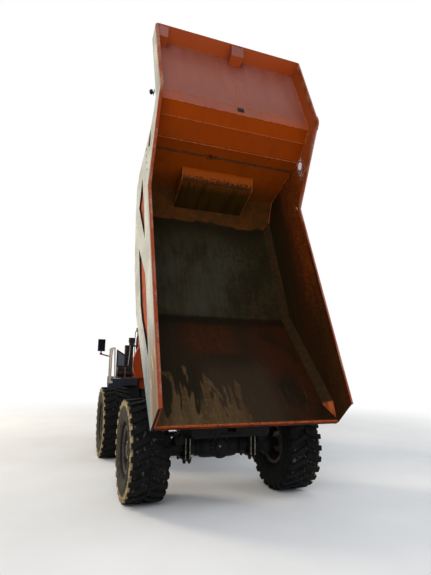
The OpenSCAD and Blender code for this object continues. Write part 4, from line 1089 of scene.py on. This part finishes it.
def add_nose():
    skin = Piece("hood_skin", "hood", "orange", bevel=2)
    fit = Piece("hood_vents", "hood", "trim", bevel=1.5)
    mesh = Piece("grille_mesh", "hood", "dark steel")
    lens = Piece("headlamp_lenses", "front_unit", "clear lamp", bevel=2)
    amber = Piece("turn_lenses", "front_unit", "amber lamp", bevel=2)
    trim = Piece("bumper_fittings", "front_unit", "black", bevel=2)
    for _ in both_sides(skin, fit, lens, amber, trim):
        skin.prism_y([(5300, 1980), (5330, 2040), (5720, 1945), (5990, 1740), (5990, 1700),
                      (5715, 1900)], HOOD_Y, HOOD_Y + 5)
        skin.box((5300, 6030), (HOOD_Y, HOOD_Y + 5), (1200, 1232))
        for z in range(1330, 1747, 52):
            fit.prism_x([(HOOD_Y - 1, z), (HOOD_Y + 13, z + 4), (HOOD_Y + 1, z + 34)], 5420, 5780)
        fit.frame_strip((5412, 5788), (HOOD_Y, HOOD_Y + 6), (1318, 1800), 12)
        fit.box((5860, 5930), (HOOD_Y, HOOD_Y + 11), (1260, 1300))
        for z in (1300, 1820):
            fit.bolt((5310, HOOD_Y + 1, z), Y, 10, 8)
        for y in (818, 960):
            lens.round((6186, y, 920), X * 10, [(0, 62), (0.6, 62), (1, 50)], 32)
            trim.round((6186, y, 920), X * 6, [(0, 70), (1, 66)], 32)
        amber.box((6187, 6193), (1036, 1056), (860, 980))
        for y in (300, 560):
            for z in (700, 1000):
                trim.bolt((6200, y, z), X, 14, 12)
        for x in range(6060, 6145, 28):
            trim.box((x, x + 14), (700, 1100), (1060, 1066))
    for y in range(-400, 401, 50):
        mesh.rod((6068, y, 1240), Z * 510, 4, 8)
    finish(skin, fit, mesh, lens, amber, trim)


def add_deck_grip():
    """Raised pattern on the decks, which narrow along the cab."""
    grip = Piece("deck_grip", "front_unit", "deck")
    for side in (1, -1):
        for i in range(14):
            for j in range(8):
                x, y = CAB_X - 340 + i * 96, 640 + j * 78
                inner = 630 if i else 940
                if side > 0 and x < CAB_X - 150:
                    inner = 1140
                if not inner <= y <= 1250 - max(0, x - CAB_X + 100) * 0.119:
                    continue
                a = math.radians(45 if (i + j) % 2 else -45)
                u, v = math.cos(a), math.sin(a)
                grip.prism_z([(x + u * l - v * w, side * y + v * l + u * w)
                              for l, w in ((26, 0), (0, 5), (-26, 0), (0, -5))],
                             DECK_Z - 1, DECK_Z + 3)
    grip.done()


def add_side_fittings():
    """Grip bars on the ladders' steps, and the tanks' straps and caps."""
    steps = Piece("ladder_grips", "front_unit", "deck", bevel=1)
    straps = Piece("tank_straps", "front_unit", "black", bevel=2)
    caps = Piece("tank_caps", "front_unit", "bolt", bevel=2)
    strap = [(770, 636), (1148, 636), (1200, 660), (1220, 706), (1220, 1372), (1200, 1424),
             (1148, 1444), (770, 1444), (770, 1439), (1144, 1439), (1194, 1420), (1213, 1370),
             (1213, 710), (1194, 664), (1144, 641), (770, 641)]
    for _ in both_sides(steps, straps, caps):
        for z in (509, 799, 1089, 1379):
            for x in range(4768, 5169, 50):
                steps.box((x, x + 24), (1004, 1138), (z, z + 7))
        for x in (4260, 4580):
            straps.prism_x(strap, x, x + 46)
        caps.round((4450, 1150, 1438), Z * 40, [(0, 46), (0.6, 46), (0.7, 54), (1, 50)], 28)
    finish(steps, straps, caps)


def add_deck_items():
    """What stands on the left deck behind the cab, and the mirrors' glass and lamps."""
    rear_x = CAB_X - 345
    wall_x = CAB_X - 319
    drum = Piece("deck_drums", "front_unit", "black", bevel=2)
    for x, y, width in ((rear_x - 4, 935, 170), (wall_x, 745, 160)):
        drum.round((x + 30, y, 1768), Y * width,
                   [(0, 60), (0.03, 72), (0.12, 72), (0.15, 62), (0.85, 62), (0.88, 72), (0.97, 72),
                    (1, 60)], 32)
        drum.round((x + 22, y + 30, 1872), Y * (width - 60), [(0, 22), (0.1, 30), (0.9, 30), (1, 22)])
    drum.box((wall_x, wall_x + 8), (740, 912), (1940, 1956))
    drum.box((wall_x, wall_x + 8), (740, 912), (2400, 2412))
    for z in (2010, 2110, 2210, 2310):
        drum.box((wall_x + 2, wall_x + 6), (770, 900), (z, z + 30))
    # Rings round the exhaust pipe
    pipe_x = CAB_X - 242
    drum.round((pipe_x, 765, 2634), Z * 8, [(0, 78), (1, 70)], 28)
    drum.rod((pipe_x, 765, 2560), Z * 14, 79, 28)
    panel = Piece("deck_panel", "front_unit", "panel", bevel=2)
    panel.prism_x([(940, 1962), (940, 2198), (1100, 2296), (1100, 1962)], rear_x + 5, rear_x + 9)
    for z in (2010, 2060, 2110, 2160):
        panel.box((rear_x + 3, rear_x + 6), (960, 1085), (z, z + 14))
    posts = Piece("deck_posts", "front_unit", "posts", bevel=1)
    for y in (915, 1096):
        posts.rod((rear_x - 12, y, DECK_Z), Z * (1925 - DECK_Z), 9)
    posts.box((rear_x - 20, rear_x - 4), (905, 925), (DECK_Z, DECK_Z + 12))
    posts.box((rear_x - 24, rear_x - 18), (760, 985), (DECK_Z - 8, DECK_Z + 3))
    # Painted highlight: the thin pale tube along the black stack's left side stands for its sunlit edge; the
    # bar and bracket below it are real
    pale = Piece("stack_highlight_and_deck_bracket", "front_unit", "rail")
    pale.tube([(wall_x - 5, 815, 2452), (wall_x - 7, 818, 2300), (wall_x - 5, 832, 2120),
               (wall_x - 5, 846, 1960)], 8)
    pale.box((rear_x - 25, rear_x - 17), (1010, 1260), (DECK_Z - 14, DECK_Z - 2))
    pale.prism_x([(1200, DECK_Z - 120), (1292, DECK_Z - 120), (1292, DECK_Z + 4), (1262, DECK_Z + 4),
                  (1240, DECK_Z - 60), (1200, DECK_Z - 70)], rear_x - 27, rear_x - 21)
    lamp = Piece("mirror_lamp", "front_unit", "red lamp", bevel=2)
    glass = Piece("mirror_glass", "front_unit", "mirror")
    for _ in both_sides(lamp, glass):
        for x, depth in ((5186, -14), (5214, 14)):
            lamp.round((x, 1372, 2262), X * depth, [(0, 34), (0.6, 34), (1, 26)])
        glass.box((5166, 5171), (1290, 1444), (2344, 2626))
    finish(drum, panel, posts, pale, lamp, glass)


add_doors("l", "door_left", wall)
add_doors("r", "door_right", mirrored(wall))
add_cab()
add_nose()
add_deck_grip()
add_side_fittings()
add_deck_items()


# Camera, floor and light


def add_camera():
    """The photo's camera, fitted to the tyres and the bed's rim; angles and places in degrees and metres."""
    yaw, pitch, roll = math.radians(20.37), math.radians(10.0), math.radians(0.8)
    ahead = Vector((math.cos(pitch) * math.cos(yaw), -math.cos(pitch) * math.sin(yaw), math.sin(pitch)))
    level = Vector((-math.sin(yaw), -math.cos(yaw), 0))
    above = level.cross(ahead)
    right = math.cos(roll) * level + math.sin(roll) * above
    up = right.cross(ahead)
    cam = add_object("camera", bpy.data.cameras.new("camera"))
    pose = Matrix((right, up, -ahead)).transposed().to_4x4()
    pose.translation = Vector((-9.102, 2.605, 2.033))
    cam.matrix_world = pose
    sensor, focal_pixels, photo_height = 36, 433.1, 575
    cam.data.sensor_width = sensor
    cam.data.lens = focal_pixels / photo_height * sensor
    cam.data.clip_end = 300
    scene.camera = cam


def add_floor():
    mesh = bmesh.new()
    mesh.faces.new([mesh.verts.new((x, y, -0.001)) for x, y in circle(64, 120)])
    data = bpy.data.meshes.new("floor")
    mesh.to_mesh(data)
    mesh.free()
    obj = add_object("floor", data)
    g = Graph("pale floor")
    tint = g.mix(g.noise(0.6).ease(0.3, 0.7), (240, 240, 240), (234, 234, 234))
    obj.data.materials.append(g.done(tint, 0.9, shine=0.1))
    # Far off the floor fades into the white behind it; near the truck it keeps the shadow
    away = (g.x * g.x + g.y * g.y).root()
    seen = g.add("ShaderNodeLightPath").outputs["Is Camera Ray"]
    glow = g.add("ShaderNodeEmission", (1, 1, 1, 1))
    blend = g.add("ShaderNodeMixShader", away.ease(7.0, 16.0) * seen, g.shader.outputs[0],
                  glow.outputs[0])
    g.put(g.out.inputs[0], blend.outputs[0])


def add_world():
    """White where the camera, reflections and glass see it, a dimmer sky where it lights."""
    world = bpy.data.worlds.new("studio")
    scene.world = world
    world.use_nodes = True
    g = Nodes(world.node_tree)
    path = g.add("ShaderNodeLightPath").outputs
    seen = path["Is Camera Ray"]
    for name in ("Is Glossy Ray", "Is Transmission Ray"):
        seen = g.math("MAXIMUM", seen, path[name])
    sky = g.add("ShaderNodeBackground", (0.90, 0.95, 1.0, 1), 0.50)
    white = g.add("ShaderNodeBackground", (1, 1, 1, 1), 1.0)
    blend = g.add("ShaderNodeMixShader", seen, sky.outputs[0], white.outputs[0])
    g.add("ShaderNodeOutputWorld", blend.outputs[0])


def add_lamp(name, place, aim, size, power, color):
    data = bpy.data.lights.new(name, "AREA")
    data.shape = "DISK"
    data.size = size
    data.energy = power
    data.color = color
    obj = add_object(name, data)
    obj.location = place
    obj.rotation_euler = (Vector(aim) - Vector(place)).to_track_quat("-Z", "Y").to_euler()


add_camera()
add_floor()
add_world()
add_lamp("key", (12, 16, 9), (0, 0, 2), 6, 2900, (1.0, 0.86, 0.66))
add_lamp("fill", (-16, 6, 12), (-1, 0, 3), 12, 1500, (0.96, 0.97, 1.0))
add_lamp("side", (-4, -18, 10), (0, 0, 3), 10, 900, (0.97, 0.98, 1.0))
